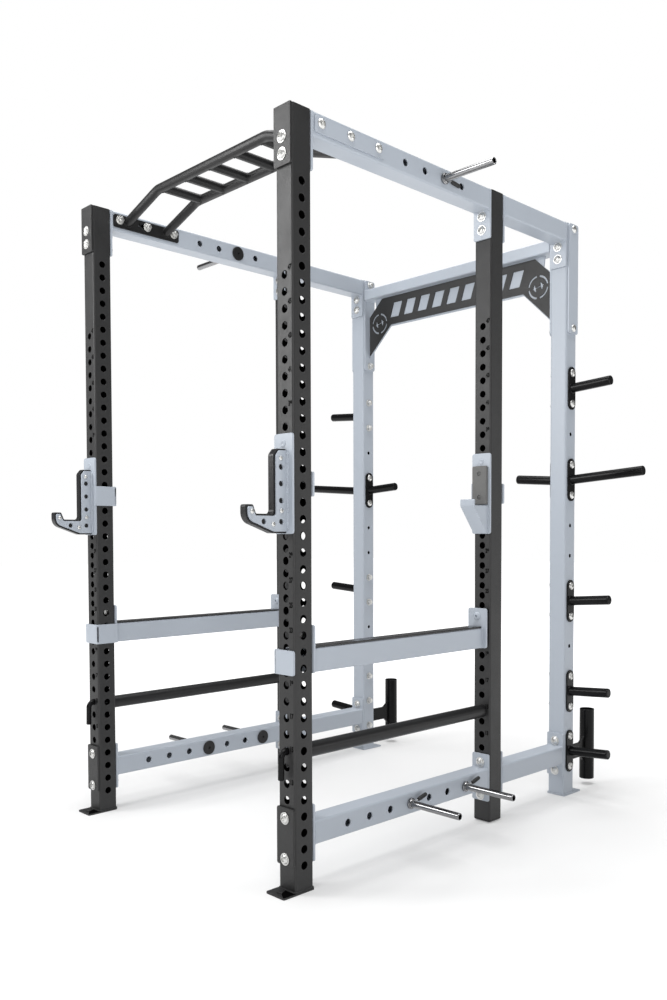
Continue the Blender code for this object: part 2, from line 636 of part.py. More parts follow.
def jcup_flat(s):
    """Pocket J-cup: back plate, slanted front lip between two gussets, screwed pad."""
    w = side_name(s)
    y0, yb = MID - GAP, MID - GAP - FLANGE_T
    axis = (s * CX, MID, JCUP_PIN_Z)
    hub = pivot("jcup_middle_%s_pivot" % w, axis)
    cx = s * CX
    back = box((cx - JCUP_W / 2, cx + JCUP_W / 2), (yb, y0), JCUP_Z, 0.008, "y")
    strap = box(span(s, CX - JCUP_W / 2 - 0.004, INNER - GAP), (yb + 0.001, MID + TUBE + GAP + FLANGE_T), JCUP_STRAP_Z)
    lip = box(span(s, CX - JCUP_W / 2 - 0.004, HALF - 0.001), (MID + TUBE + GAP, MID + TUBE + GAP + FLANGE_T),
              JCUP_STRAP_Z, 0.005, "y")
    pin = rod(PIN_D, y0 - 0.004, MID + 0.045, "y", (cx, JCUP_PIN_Z), 16, tip=0.002)
    t = 0.0080
    front = MID - 0.0950
    hook = sheet([(yb + 0.003, 1.1080), (yb - 0.0050, 1.1080), (front, 1.2100), (front, 1.2350), (front + t, 1.2350),
                  (front + t, 1.2130), (yb - 0.0010, 1.1190), (yb + 0.003, 1.1190)], 2.5 * IN, "yz", cx)
    gussets = [sheet([(yb + 0.003, 1.1090), (yb - 0.0030, 1.1090), (front + 0.003, 1.2090), (front + 0.003, 1.2120),
                      (yb + 0.003, 1.2120)], 0.006, "yz", cx + e * (1.25 * IN - 0.003)) for e in (1, -1)]
    node("jcup_middle_%s" % w, back, paint("jcup_middle_" + w, GREY, 0.4), [strap, lip, pin, hook] + gussets, (),
         axis, hub)
    pad = box((cx - 1.28 * IN, cx + 1.28 * IN), (yb - GAP - 0.0130, yb - GAP), (1.2160, 1.3620), 0.006, "y")
    node("jcup_pad_middle_%s" % w, pad, paint("jcup_pad_middle_" + w, (0.16, 0.16, 0.155), 0.6), (), (), axis, hub)


jcup_sandwich(1)
jcup_sandwich(-1)
jcup_flat(1)


# ---------------------------------------------------------------- flip-down safeties
def safety(s):
    w = side_name(s)
    cx = s * CX
    axis = (cx, FRONT + TUBE, SAFETY_PIN_Z)
    hub = pivot("safety_%s_pivot" % w, axis)
    ya, yb = FRONT + TUBE + GAP, FRONT + TUBE + GAP + FLANGE_T
    end = FRONT + SAFETY_END
    wide = (cx - JCUP_W / 2, cx + JCUP_W / 2)
    bar = box((cx - 1 * IN, cx + 1 * IN), (yb - 0.003, end - FLANGE_T + 0.003), SAFETY_Z, 0.004, "y")
    near = box(wide, (ya, yb), (SAFETY_Z[0], SAFETY_TOP), 0.007, "y")
    far = box(wide, (end - FLANGE_T, end), (SAFETY_Z[0], SAFETY_TOP), 0.007, "y")
    strap = box(span(s, CX - JCUP_W / 2 - 0.004, INNER - GAP), (FRONT - GAP - FLANGE_T, yb - 0.001), SAFETY_Z)
    lip = box(span(s, CX - JCUP_W / 2 - 0.004, CX + JCUP_W / 2), (FRONT - GAP - FLANGE_T, FRONT - GAP), SAFETY_Z, 0.007, "y")
    pin_a = rod(PIN_D, FRONT + TUBE - 0.020, yb - 0.003, "y", (cx, SAFETY_PIN_Z), 16, tip=0.002)
    pin_b = rod(PIN_D, end - FLANGE_T + 0.003, MID + 0.030, "y", (cx, SAFETY_PIN_Z), 16, tip=0.002)
    hollow = box((cx - 1 * IN + 0.004, cx + 1 * IN - 0.004), (yb + 0.001, end - FLANGE_T - 0.001),
                 (SAFETY_Z[0] + 0.004, SAFETY_Z[1] - 0.004))
    drain = rod(0.010, SAFETY_Z[0] - 0.01, SAFETY_Z[0] + 0.01, "z", (cx, (ya + end) / 2), 8)
    node("safety_" + w, bar, paint("safety_" + w, GREY, 0.4), [near, far, strap, lip, pin_a, pin_b],
         [hollow, drain], axis, hub)
    strip = box((cx - 1 * IN, cx + 1 * IN), (yb + 0.002, end - FLANGE_T - 0.006),
                (SAFETY_Z[1] + GAP, SAFETY_Z[1] + GAP + 0.0060), 0.002, "y", 1)
    node("safety_strip_" + w, strip, paint("safety_strip_" + w, BLACK, 0.6), (), (), axis, hub)


safety(1)
safety(-1)


# ---------------------------------------------------------------- pin-and-pipe safeties
def pin_pipe(s):
    w = side_name(s)
    cx = s * CX
    y_bend = FRONT - 0.0235
    corner = (cx, y_bend, ROD_Z)
    tail = (cx, y_bend - 0.002, ROD_Z - 0.0930)
    path = [(cx, MID + TUBE + 0.0200, ROD_Z)] + arc_path((cx, MID, ROD_Z), corner, tail, 0.020, 4) + [tail]
    bar = swept(path, ROD_D, 4)
    node("safety_rod_" + w, bar, paint("safety_rod_" + w, BLACK, 0.4), (), (), (cx, FRONT, ROD_Z),
         pivot("safety_rod_%s_slide" % w, (cx, FRONT, ROD_Z)))
    ya, yb = FRONT + TUBE + 0.0040, MID - 0.0040
    pipe = rod(PIPE_OD, ya, yb, "y", (cx, PIPE_Z), 24)
    bore = rod(PIPE_ID, ya - 0.02, yb + 0.02, "y", (cx, PIPE_Z), 24)
    node("safety_pipe_" + w, pipe, paint("safety_pipe_" + w, BLACK, 0.4), (), [bore], (cx, FRONT + TUBE, PIPE_Z),
         pivot("safety_pipe_%s_axis" % w, (cx, FRONT + TUBE, PIPE_Z)))


pin_pipe(1)
pin_pipe(-1)
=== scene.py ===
import math

import bmesh
import bpy
from mathutils import Matrix, Vector


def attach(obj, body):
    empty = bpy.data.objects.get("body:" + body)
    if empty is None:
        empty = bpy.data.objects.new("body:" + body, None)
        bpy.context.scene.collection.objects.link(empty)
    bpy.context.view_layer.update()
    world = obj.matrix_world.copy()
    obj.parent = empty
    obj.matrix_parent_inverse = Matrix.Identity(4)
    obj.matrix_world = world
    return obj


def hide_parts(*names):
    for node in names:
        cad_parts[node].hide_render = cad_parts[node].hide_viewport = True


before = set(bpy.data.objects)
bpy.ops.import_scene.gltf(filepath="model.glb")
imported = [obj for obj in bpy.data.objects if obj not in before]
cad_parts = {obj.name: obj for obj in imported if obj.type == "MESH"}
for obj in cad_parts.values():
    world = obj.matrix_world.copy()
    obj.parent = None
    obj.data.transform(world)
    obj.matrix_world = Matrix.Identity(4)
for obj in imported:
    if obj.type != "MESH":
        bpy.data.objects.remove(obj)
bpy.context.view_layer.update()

for stray in ("Cube", "Light", "Camera"):
    if stray in bpy.data.objects:
        bpy.data.objects.remove(bpy.data.objects[stray], do_unlink=True)

# ------------------------------------------------------------------ sizes, metres
IN = 0.0254
TUBE = 3 * IN
WALL = 0.1875 * IN
CORNER = 0.0075
GAP = 0.0003
HALF = 24.5 * IN
CX = HALF - TUBE / 2
INNER = HALF - TUBE
FRONT = -0.813375
MID = FRONT + 39 * IN
REAR = MID + 20.5 * IN
HEIGHT = 2.390
FOOT_T = 0.25 * IN
FOOT_W = 3.35 * IN
HOLE_R = 0.5 * IN
ROWS = [0.0842 + 2 * IN * k for k in range(12)]
ROWS += [ROWS[-1] + 1.5 * IN * (k + 1) for k in range(14)]
ROWS += [ROWS[-1] + 2 * IN * (k + 1) for k in range(14)]
SIDE_ROWS = [0.0842 + 2 * IN * k for k in range(42)]
STORE = [0.1250 + 5 * IN * k for k in range(14)]
ROD_Z = ROWS[7]
SAFETY_PIN_Z = ROWS[15]
JCUP_PIN_Z = ROWS[29]
BEAM_LOW_Z = 0.1751
BEAM_TOP_Z = 2.3512
FLANGE_T = 0.008
FLANGE_LOW = (0.0860, 0.2660)
FLANGE_TOP = (2.2090, 2.3898)
LOW_BOLTS = (0.1060, 0.2330)
TOP_BOLTS = (2.2442, 2.2950)
PLATE_T = 0.25 * IN
TOP_PEG = FRONT + 28 * IN
LOW_PEGS = (FRONT + 21 * IN, FRONT + 33 * IN)
BRACKET_BOLTS = [FRONT + k * IN for k in (4.5, 9.5, 14.5)]
YC = REAR + TUBE / 2
PIPE_OD, PIPE_ID, PIN_D, ROD_D = 0.0483, 0.0441, 0.875 * IN, 0.0222
PIPE_Z = ROD_Z - (PIPE_ID - ROD_D) / 2 + 0.0006
SIDES = ((1, "right"), (-1, "left"))

# ------------------------------------------------------------------ materials


class Nodes:
    """A small helper that wires a Principled material in object space."""

    def __init__(self, name):
        self.mat = bpy.data.materials.new(name)
        self.mat.use_nodes = True
        self.tree = self.mat.node_tree
        self.bsdf = self.tree.nodes["Principled BSDF"]
        self.coord = self.tree.nodes.new("ShaderNodeTexCoord").outputs["Object"]

    def node(self, kind, **values):
        made = self.tree.nodes.new(kind)
        for key, value in values.items():
            setattr(made, key, value)
        return made

    def link(self, a, b):
        self.tree.links.new(a, b)

    def stretched(self, scale):
        m = self.node("ShaderNodeMapping")
        m.inputs["Scale"].default_value = scale
        self.link(self.coord, m.inputs["Vector"])
        return m.outputs["Vector"]

    def noise(self, scale, detail=2.0, rough=0.5, vector=None, distortion=0.0):
        n = self.node("ShaderNodeTexNoise")
        n.inputs["Scale"].default_value = scale
        n.inputs["Detail"].default_value = detail
        n.inputs["Roughness"].default_value = rough
        n.inputs["Distortion"].default_value = distortion
        self.link(vector or self.coord, n.inputs["Vector"])
        return n.outputs["Fac"]

    def ramp(self, source, low, high, out_low, out_high):
        n = self.node("ShaderNodeMapRange")
        n.inputs["From Min"].default_value = low
        n.inputs["From Max"].default_value = high
        n.inputs["To Min"].default_value = out_low
        n.inputs["To Max"].default_value = out_high
        self.link(source, n.inputs["Value"])
        return n.outputs["Result"]

    def math(self, kind, a, b):
        n = self.node("ShaderNodeMath", operation=kind)
        for i, v in enumerate((a, b)):
            if isinstance(v, (int, float)):
                n.inputs[i].default_value = v
            else:
                self.link(v, n.inputs[i])
        return n.outputs[0]

    def mix(self, factor, a, b):
        n = self.node("ShaderNodeMix", data_type="RGBA")
        self.link(factor, n.inputs["Factor"]) if not isinstance(factor, float) else setattr(
            n.inputs["Factor"], "default_value", factor)
        for socket, v in ((n.inputs[6], a), (n.inputs[7], b)):
            if isinstance(v, tuple):
                socket.default_value = (*v, 1.0)
            else:
                self.link(v, socket)
        return n.outputs[2]

    def bump(self, height, strength, distance, below=None):
        n = self.node("ShaderNodeBump")
        n.inputs["Strength"].default_value = strength
        n.inputs["Distance"].default_value = distance
        self.link(height, n.inputs["Height"])
        if below is not None:
            self.link(below, n.inputs["Normal"])
        return n.outputs["Normal"]

    def edges(self, radius, low=0.02, high=0.25):
        """1 on a narrow band along sharp edges, from how far a rounded normal leans from the face's own."""
        bevel = self.node("ShaderNodeBevel", samples=4)
        bevel.inputs["Radius"].default_value = radius
        geo = self.node("ShaderNodeNewGeometry")
        dot = self.node("ShaderNodeVectorMath", operation="DOT_PRODUCT")
        self.link(bevel.outputs["Normal"], dot.inputs[0])
        self.link(geo.outputs["Normal"], dot.inputs[1])
        lean = self.math("SUBTRACT", 1.0, dot.outputs["Value"])
        return self.ramp(lean, low, high, 0.0, 1.0)

    def set(self, **values):
        for key, value in values.items():
            socket = self.bsdf.inputs[key.replace("_", " ")]
            if isinstance(value, bpy.types.NodeSocket):
                self.link(value, socket)
            else:
                socket.default_value = value
        return self.mat


def painted(name, colour, rough, peel, speckle=0.0, edge=1.35, worn_and_lit_edge=0.35, cloud=0.06, level=0.5, spread=0.045):
    """Paint or powder coat: cloudy tone, orange peel, and lighter edges, partly a thinner coat and partly a painted
    highlight where edges catch light.
    """
    n = Nodes(name)
    dark = tuple(c * (1 - cloud) for c in colour)
    light = tuple(min(c * (1 + cloud), 1.0) for c in colour)
    tone = n.mix(n.ramp(n.noise(3.5, 4.0, 0.6), 0.3, 0.7, 0.0, 1.0), dark, light)
    if speckle:
        grain = n.ramp(n.noise(900.0, 2.0, 0.6), 0.45, 0.75, 0.0, speckle)
        tone = n.mix(grain, tone, tuple(min(c * 2.2 + 0.01, 1.0) for c in colour))
    # edges lighter in colour: partly a thinner coat, partly a painted highlight along the edges
    mask = n.math("MULTIPLY", n.edges(0.0016), n.ramp(n.noise(60.0, 4.0, 0.7), 0.35, 0.65, 0.15, 1.0))
    tone = n.mix(n.math("MULTIPLY", mask, worn_and_lit_edge), tone, tuple(min(c * edge + 0.012, 1.0) for c in colour))
    roughness = n.math("ADD", n.ramp(n.noise(14.0, 5.0, 0.65), 0.3, 0.7, rough - spread, rough + spread),
                       n.math("MULTIPLY", mask, -0.05))
    fine = n.bump(n.noise(peel[0], 2.0, 0.5), peel[1], peel[2])
    soft = n.bump(n.noise(peel[0] * 0.12, 3.0, 0.5), peel[1] * 0.25, peel[2] * 1.2, fine)
    return n.set(Base_Color=tone, Roughness=roughness, Normal=soft, Specular_IOR_Level=level)


def metal(name, colour, rough, brushed=None, haze=0.08):
    n = Nodes(name)
    vector = n.stretched(brushed) if brushed else None
    streak = n.noise(1.0 if brushed else 220.0, 4.0, 0.6, vector)
    spots = n.noise(35.0, 5.0, 0.7)
    tone = n.mix(n.ramp(spots, 0.35, 0.7, 0.0, 1.0), colour, tuple(c * 0.86 for c in colour))
    roughness = n.math("ADD", n.ramp(streak, 0.3, 0.7, rough * 0.7, rough * 1.3),
                       n.ramp(spots, 0.4, 0.75, 0.0, haze))
    return n.set(Base_Color=tone, Metallic=1.0, Roughness=roughness,
                 Normal=n.bump(streak, 0.05, 0.0004))


def plastic(name, colour, rough, grain, scuff=0.3, level=0.4):
    """Dense machined plastic: fine tooth, long faint scuffs, and lighter edges, partly rubbed and partly a painted
    highlight.
    """
    n = Nodes(name)
    lines = n.noise(1.0, 3.0, 0.7, n.stretched((60.0, 60.0, 700.0)))
    scuffs = n.ramp(lines, 0.56, 0.75, 0.0, scuff)
    tone = n.mix(scuffs, colour, tuple(c * 1.9 + 0.01 for c in colour))
    # lighter edges: partly rubbed wear, partly a painted highlight
    tone = n.mix(n.math("MULTIPLY", n.edges(0.0015), 0.35), tone, tuple(c * 1.8 + 0.015 for c in colour))
    roughness = n.ramp(n.noise(40.0, 5.0, 0.7), 0.3, 0.7, rough - 0.07, rough + 0.08)
    return n.set(Base_Color=tone, Roughness=roughness, Normal=n.bump(n.noise(grain, 3.0, 0.6), 0.18, 0.0005),
                 Specular_IOR_Level=level)


GREY = painted("blue_grey_paint", (0.398, 0.436, 0.489), 0.30, (420.0, 0.03, 0.0003), edge=1.12, worn_and_lit_edge=0.25, cloud=0.015, level=0.30, spread=0.008)
POWDER = painted("black_powder_coat", (0.0105, 0.0105, 0.0108), 0.47, (1500.0, 0.32, 0.0006), speckle=0.35, edge=2.2, worn_and_lit_edge=0.6, level=0.55)
SATIN = painted("black_satin_coat", (0.0040, 0.0040, 0.0043), 0.24, (600.0, 0.08, 0.0005), edge=2.5, worn_and_lit_edge=0.5, level=0.15)
PIPE_COAT = painted("black_pipe_coat", (0.0100, 0.0100, 0.0104), 0.36, (900.0, 0.16, 0.0005), speckle=0.2, edge=2.2, worn_and_lit_edge=0.5, level=0.34)
ZINC = metal("zinc_plate", (0.72, 0.72, 0.705), 0.36)
CHROME = metal("chrome_plate", (0.29, 0.29, 0.295), 0.13, (12.0, 420.0, 420.0), haze=0.04)
UHMW = plastic("black_uhmw", (0.009, 0.009, 0.010), 0.33, 900.0, level=0.34)
STRIP = plastic("black_uhmw_strip", (0.009, 0.009, 0.010), 0.20, 900.0, level=0.55)
PAD = plastic("grey_pad_plastic", (0.125, 0.125, 0.122), 0.55, 700.0, 0.2)
RUBBER = plastic("black_rubber", (0.018, 0.018, 0.019), 0.62, 1600.0, 0.15)
INK = plastic("dark_numeral", (0.002, 0.002, 0.002), 0.9, 1200.0, 0.0, 0.1)
# near-black painted shade for the inside of the tubes, where shade falls
TUBE_SHADE = plastic("tube_inside_painted_shade", (0.0016, 0.0015, 0.0015), 0.95, 900.0, 0.0, 0.02)
DARK = plastic("end_cap_plastic", (0.012, 0.012, 0.013), 0.5, 1100.0, 0.2)

# ------------------------------------------------------------------ mesh helpers


def done(bm, matrix=None, merge=1e-6):
    if matrix is not None:
        bmesh.ops.transform(bm, matrix=matrix, verts=bm.verts)
    if merge:
        bmesh.ops.remove_doubles(bm, verts=bm.verts, dist=merge)
    bmesh.ops.recalc_face_normals(bm, faces=bm.faces)
    mesh = bpy.data.meshes.new("m")
    bm.to_mesh(mesh)
    bm.free()
    return mesh


def moved(mesh, matrix):
    out = mesh.copy()
    out.transform(matrix)
    if matrix.determinant() < 0:
        out.flip_normals()
    return out


def shifted(mesh, x=0.0, y=0.0, z=0.0):
    return moved(mesh, Matrix.Translation((x, y, z)))


def joined(meshes):
    bm = bmesh.new()
    for m in meshes:
        bm.from_mesh(m)
    out = bpy.data.meshes.new("m")
    bm.to_mesh(out)
    bm.free()
    return out


def combine(base, add=(), cut=()):
    """base, joined with the added meshes and with the cut ones taken away."""
    objects = []

    def temporary(mesh):
        o = bpy.data.objects.new("t", mesh)
        bpy.context.scene.collection.objects.link(o)
        objects.append(o)
        return o

    main = temporary(base)
    for kind, others in (("UNION", add), ("DIFFERENCE", cut)):
        for other in others:
            mod = main.modifiers.new("b", "BOOLEAN")
            mod.operation, mod.solver = kind, "MANIFOLD"
            mod.object = temporary(other)
    bpy.context.view_layer.update()
    graph = bpy.context.evaluated_depsgraph_get()
    out = bpy.data.meshes.new_from_object(main.evaluated_get(graph))
    if not out.polygons:
        for mod in main.modifiers:
            mod.solver = "EXACT"
        bpy.context.view_layer.update()
        out = bpy.data.meshes.new_from_object(main.evaluated_get(bpy.context.evaluated_depsgraph_get()))
        print("EXACT used", len(out.polygons))
    for o in objects:
        bpy.data.objects.remove(o)
    bm = bmesh.new()
    bm.from_mesh(out)
    bmesh.ops.remove_doubles(bm, verts=bm.verts, dist=1e-6)
    bm.to_mesh(out)
    bm.free()
    return out


def rounded_rect(hu, hv, r, n=5):
    out = []
    for cu, cv, start in ((hu - r, hv - r, 0), (-(hu - r), hv - r, 90), (-(hu - r), -(hv - r), 180), (hu - r, -(hv - r), 270)):
        for k in range(n + 1):
            a = math.radians(start + 90 * k / n)
            out.append((cu + r * math.cos(a), cv + r * math.sin(a)))
    return out


FRAMES = {
    "x": lambda u, v, w: (w, u, v),
    "y": lambda u, v, w: (u, w, v),
    "z": lambda u, v, w: (u, v, w),
}


def profile_solid(loops_by_w, axis, centre=(0.0, 0.0), closed=True):
    """Stack of equal-length loops [(w, [(u, v)...])...], skinned and capped."""
    bm = bmesh.new()
    place = FRAMES[axis]
    rings = [[bm.verts.new(place(centre[0] + u, centre[1] + v, w)) for u, v in loop] for w, loop in loops_by_w]
    count = len(rings[0])
    for a, b in zip(rings, rings[1:]):
        for i in range(count):
            j = (i + 1) % count
            bm.faces.new((a[i], a[j], b[j], b[i]))
    if closed:
        bm.faces.new(rings[0])
        bm.faces.new(rings[-1])
    return done(bm, merge=0)


def square_tube(axis, centre, lo, hi, half=(TUBE / 2, TUBE / 2), r=CORNER, wall=WALL, ease=0.0006):
    """Open square tube with rounded corners and eased ends."""
    outer = rounded_rect(half[0], half[1], r)
    tight = rounded_rect(half[0] - ease, half[1] - ease, r - ease)
    inner = rounded_rect(half[0] - wall, half[1] - wall, max(r - wall, 0.0012))
    loops = [(lo, tight), (lo + ease, outer), (hi - ease, outer), (hi, tight), (hi, inner), (lo, inner)]
    bm = bmesh.new()
    place = FRAMES[axis]
    rings = [[bm.verts.new(place(centre[0] + u, centre[1] + v, w)) for u, v in loop] for w, loop in loops]
    count = len(outer)
    for a, b in zip(rings, rings[1:] + rings[:1]):
        for i in range(count):
            j = (i + 1) % count
            bm.faces.new((a[i], a[j], b[j], b[i]))
    return done(bm, merge=0)


def block(x, y, z, bevel=0.001, segments=2):
    bm = bmesh.new()
    size = (x[1] - x[0], y[1] - y[0], z[1] - z[0])
    mid = ((x[0] + x[1]) / 2, (y[0] + y[1]) / 2, (z[0] + z[1]) / 2)
    bmesh.ops.create_cube(bm, size=1.0, matrix=Matrix.Translation(mid) @ Matrix.Diagonal((*size, 1.0)))
    if bevel:
        bmesh.ops.bevel(bm, geom=list(bm.edges), offset=bevel, segments=segments, profile=0.5, affect="EDGES")
    return done(bm, merge=0)


def plate(outline, axis, lo, hi, ease=0.0009, segments=2):
    """A flat plate cut to an outline of (u, v), between lo and hi along axis, with eased rims."""
    bm = bmesh.new()
    place = FRAMES[axis]
    low = [bm.verts.new(place(u, v, lo)) for u, v in outline]
    high = [bm.verts.new(place(u, v, hi)) for u, v in outline]
    caps = [bm.faces.new(low), bm.faces.new(high)]
    count = len(outline)
    for i in range(count):
        j = (i + 1) % count
        bm.faces.new((low[i], low[j], high[j], high[i]))
    bmesh.ops.recalc_face_normals(bm, faces=bm.faces)
    if ease:
        rim = [e for f in caps for e in f.edges]
        bmesh.ops.bevel(bm, geom=rim, offset=ease, segments=segments, profile=0.5, affect="EDGES")
    return done(bm, merge=0)


def fillet(points, radius, segments=5):
    out = []
    count = len(points)
    for i, here in enumerate(points):
        r = radius[i] if isinstance(radius, (list, tuple)) else radius
        p = Vector(here)
        if r <= 0:
            out.append(tuple(p))
            continue
        a = (Vector(points[i - 1]) - p).normalized()
        b = (Vector(points[(i + 1) % count]) - p).normalized()
        half = a.angle(b) / 2
        reach = r / math.tan(half)
        centre = p + (a + b).normalized() * (r / math.sin(half))
        start, stop = p + a * reach - centre, p + b * reach - centre
        sweep = start.angle_signed(stop)
        for k in range(segments + 1):
            t = start.copy()
            t.rotate(Matrix.Rotation(-sweep * k / segments, 2))
            out.append(tuple(centre + t))
    return out


def rect(u, v, r=0.006, segments=5):
    return fillet([(u[0], v[0]), (u[1], v[0]), (u[1], v[1]), (u[0], v[1])], r, segments)


def pill(cu, cv, width, height, segments=14):
    r = width / 2
    out = []
    for centre, start in ((cv + height / 2 - r, 0), (cv - height / 2 + r, 180)):
        for k in range(segments + 1):
            a = math.radians(start + 180 * k / segments)
            out.append((cu + r * math.cos(a), centre + r * math.sin(a)))
    return out


def basis(direction):
    d = Vector(direction).normalized()
    up = Vector((0, 0, 1)) if abs(d.z) < 0.9 else Vector((0, 1, 0))
    a = up.cross(d).normalized()
    return a, d.cross(a), d


def turned(profile, at, direction, sides=32, spin=0.0, close=True):
    """A round solid: profile is (radius, height) pairs along direction from at."""
    a, b, d = basis(direction)
    at = Vector(at)
    bm = bmesh.new()
    rings = []
    for r, h in profile:
        if r <= 1e-7:
            rings.append([bm.verts.new(at + d * h)])
            continue
        rings.append([bm.verts.new(at + d * h + (a * math.cos(spin + 2 * math.pi * k / sides)
                                                 + b * math.sin(spin + 2 * math.pi * k / sides)) * r)
                      for k in range(sides)])
    for p, q in zip(rings, rings[1:]):
        for k in range(sides):
            m = (k + 1) % sides
            if len(p) == 1 and len(q) == 1:
                continue
            if len(p) == 1:
                bm.faces.new((p[0], q[k], q[m]))
            elif len(q) == 1:
                bm.faces.new((p[k], p[m], q[0]))
            else:
                bm.faces.new((p[k], p[m], q[m], q[k]))
    if close:
        if len(rings[0]) > 1:
            bm.faces.new(rings[0])
        if len(rings[-1]) > 1:
            bm.faces.new(rings[-1])
    return done(bm, merge=0)


def drill(holes, sides=28):
    """Cutters for holes given as (point on the surface, outward direction, radius, depth); each has an eased rim."""
    flare = 0.0007
    cutters = []
    for at, direction, r, depth in holes:
        cutters.append(turned([(r, -depth), (r, -flare), (r + flare + 0.002, 0.002)], at, direction, sides))
    return joined(cutters)


def sweep(points, radius, sides=20, caps=True, closed=False, radii=None, ends=0.0):
    """A round bar along points; radii gives a radius for each point."""
    pts = [Vector(p) for p in points]
    count = len(pts)
    bm = bmesh.new()
    tangents = []
    for i in range(count):
        if closed:
            t = pts[(i + 1) % count] - pts[i - 1]
        else:
            t = pts[min(i + 1, count - 1)] - pts[max(i - 1, 0)]
        tangents.append(t.normalized())
    a, _, _ = basis(tangents[0])
    rings = []
    for i in range(count):
        t = tangents[i]
        a = (a - t * a.dot(t)).normalized()
        b = t.cross(a)
        r = radii[i] if radii else radius
        rings.append([bm.verts.new(pts[i] + (a * math.cos(2 * math.pi * k / sides) + b * math.sin(2 * math.pi * k / sides)) * r)
                      for k in range(sides)])
    pairs = list(zip(rings, rings[1:]))
    if closed:
        pairs.append((rings[-1], rings[0]))
    for p, q in pairs:
        for k in range(sides):
            m = (k + 1) % sides
            bm.faces.new((p[k], p[m], q[m], q[k]))
    if caps and not closed:
        bm.faces.new(rings[0])
        bm.faces.new(rings[-1])
    return done(bm, merge=0)


def bend(before, corner, after, radius, steps=14):
    a = (Vector(before) - Vector(corner)).normalized()
    b = (Vector(after) - Vector(corner)).normalized()
    half = a.angle(b) / 2
    reach = radius / math.tan(half)
    centre = Vector(corner) + (a + b).normalized() * (radius / math.sin(half))
    start = Vector(corner) + a * reach - centre
    stop = Vector(corner) + b * reach - centre
    return [centre + start.slerp(stop, k / steps).normalized() * radius for k in range(steps + 1)]


def bead(points, radius=0.0026, closed=False, pitch=0.0042, seed=0.0):
    """A weld bead: a rippled cord laid along points."""
    pts = [Vector(p) for p in points]
    if closed:
        pts = pts + [pts[0]]
    line = []
    for p, q in zip(pts, pts[1:]):
        steps = max(1, int((q - p).length / (pitch / 3)))
        line += [p.lerp(q, k / steps) for k in range(steps)]
    if not closed:
        line.append(pts[-1])
    radii = []
    for i in range(len(line)):
        s = i / 3.0
        radii.append(radius * (1.0 + 0.14 * math.sin(2 * math.pi * s) + 0.06 * math.sin(1.7 * s + seed)))
    if not closed:
        radii[0] *= 0.5
        radii[-1] *= 0.5
    return sweep(line, radius, 8, radii=radii, closed=closed)


def link(name, mesh):
    o = bpy.data.objects.new(name, mesh)
    bpy.context.scene.collection.objects.link(o)
    return o


def piece(name, parts, body="frame", stands_for=(), angle=33):
    """One visible piece from (mesh, material) pairs."""
    bm = bmesh.new()
    materials = []
    for mesh, mat in parts:
        if mat not in materials:
            materials.append(mat)
        start = len(bm.faces)
        bm.from_mesh(mesh)
        bm.faces.ensure_lookup_table()
        for f in bm.faces[start:]:
            f.material_index = materials.index(mat)
            f.smooth = True
    out = bpy.data.meshes.new(name)
    bm.to_mesh(out)
    bm.free()
    for mat in materials:
        out.materials.append(mat)
    out.set_sharp_from_angle(angle=math.radians(angle))
    o = link(name, out)
    mod = o.modifiers.new("weighted", "WEIGHTED_NORMAL")
    mod.mode, mod.weight, mod.keep_sharp = "FACE_AREA", 80, True
    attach(o, body)
    if stands_for:
        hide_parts(*stands_for)
    return o


def paint_tube_shade(o, axis, centre, half=(TUBE / 2, TUBE / 2), wall=WALL, span=(-9.0, 9.0)):
    """Paints the inside of a tube and the walls of its holes near-black: painted shade for the shade that falls inside
    the tube.
    """
    o.data.materials.append(TUBE_SHADE)
    last = len(o.data.materials) - 1
    u, v = {"x": (1, 2), "y": (0, 2), "z": (0, 1)}[axis]
    for f in o.data.polygons:
        c = f.center
        if not span[0] < c[3 - u - v] < span[1]:
            continue
        if abs(c[u] - centre[0]) < half[0] - wall + 0.0002 and abs(c[v] - centre[1]) < half[1] - wall + 0.0002:
            f.material_index = last
            continue
        n = f.normal
        for p, q in ((u, v), (v, u)):
            a, b = (0, 1) if p == u else (1, 0)
            if abs(c[q] - centre[b]) < 0.0145 and half[a] - wall - 0.0003 < abs(c[p] - centre[a]) < half[a] - 0.0002 and abs(n[p]) < 0.5:
                f.material_index = last


def hex_socket(at, direction, across, depth):
    r = across / 2 / math.cos(math.pi / 6)
    return turned([(r, -depth), (r, 0.004)], at, direction, 6)


def button_bolt(at, direction, d=0.0315, h=0.0085, socket=0.0124, washer=0.0):
    """Button-head cap screw standing on a face, with a hex socket and an optional washer under it."""
    r = d / 2
    prof = [(r * 0.98, 0.0), (r, 0.0006), (r, 0.0018)]
    for k in range(1, 9):
        t = k / 8
        ang = math.radians(12 + 62 * t)
        prof.append((r * math.cos(ang) / math.cos(math.radians(12)) * 0.995 + 0.0,
                     0.0018 + (h - 0.0018) * (math.sin(ang) - math.sin(math.radians(12))) / (math.sin(math.radians(74)) - math.sin(math.radians(12)))))
    prof.append((0.0, h * 1.002))
    top = Vector(at) + Vector(direction).normalized() * (washer + h)
    head = turned(prof, Vector(at) + Vector(direction).normalized() * washer, direction, 36)
    head = combine(head, cut=[hex_socket(top, direction, socket, h * 0.80)])
    parts = [head]
    if washer:
        w = 0.019
        parts.append(turned([(w - 0.0004, 0.0), (w, 0.0004), (w, washer - 0.0004), (w - 0.0004, washer)], at, direction, 40))
    return joined(parts)


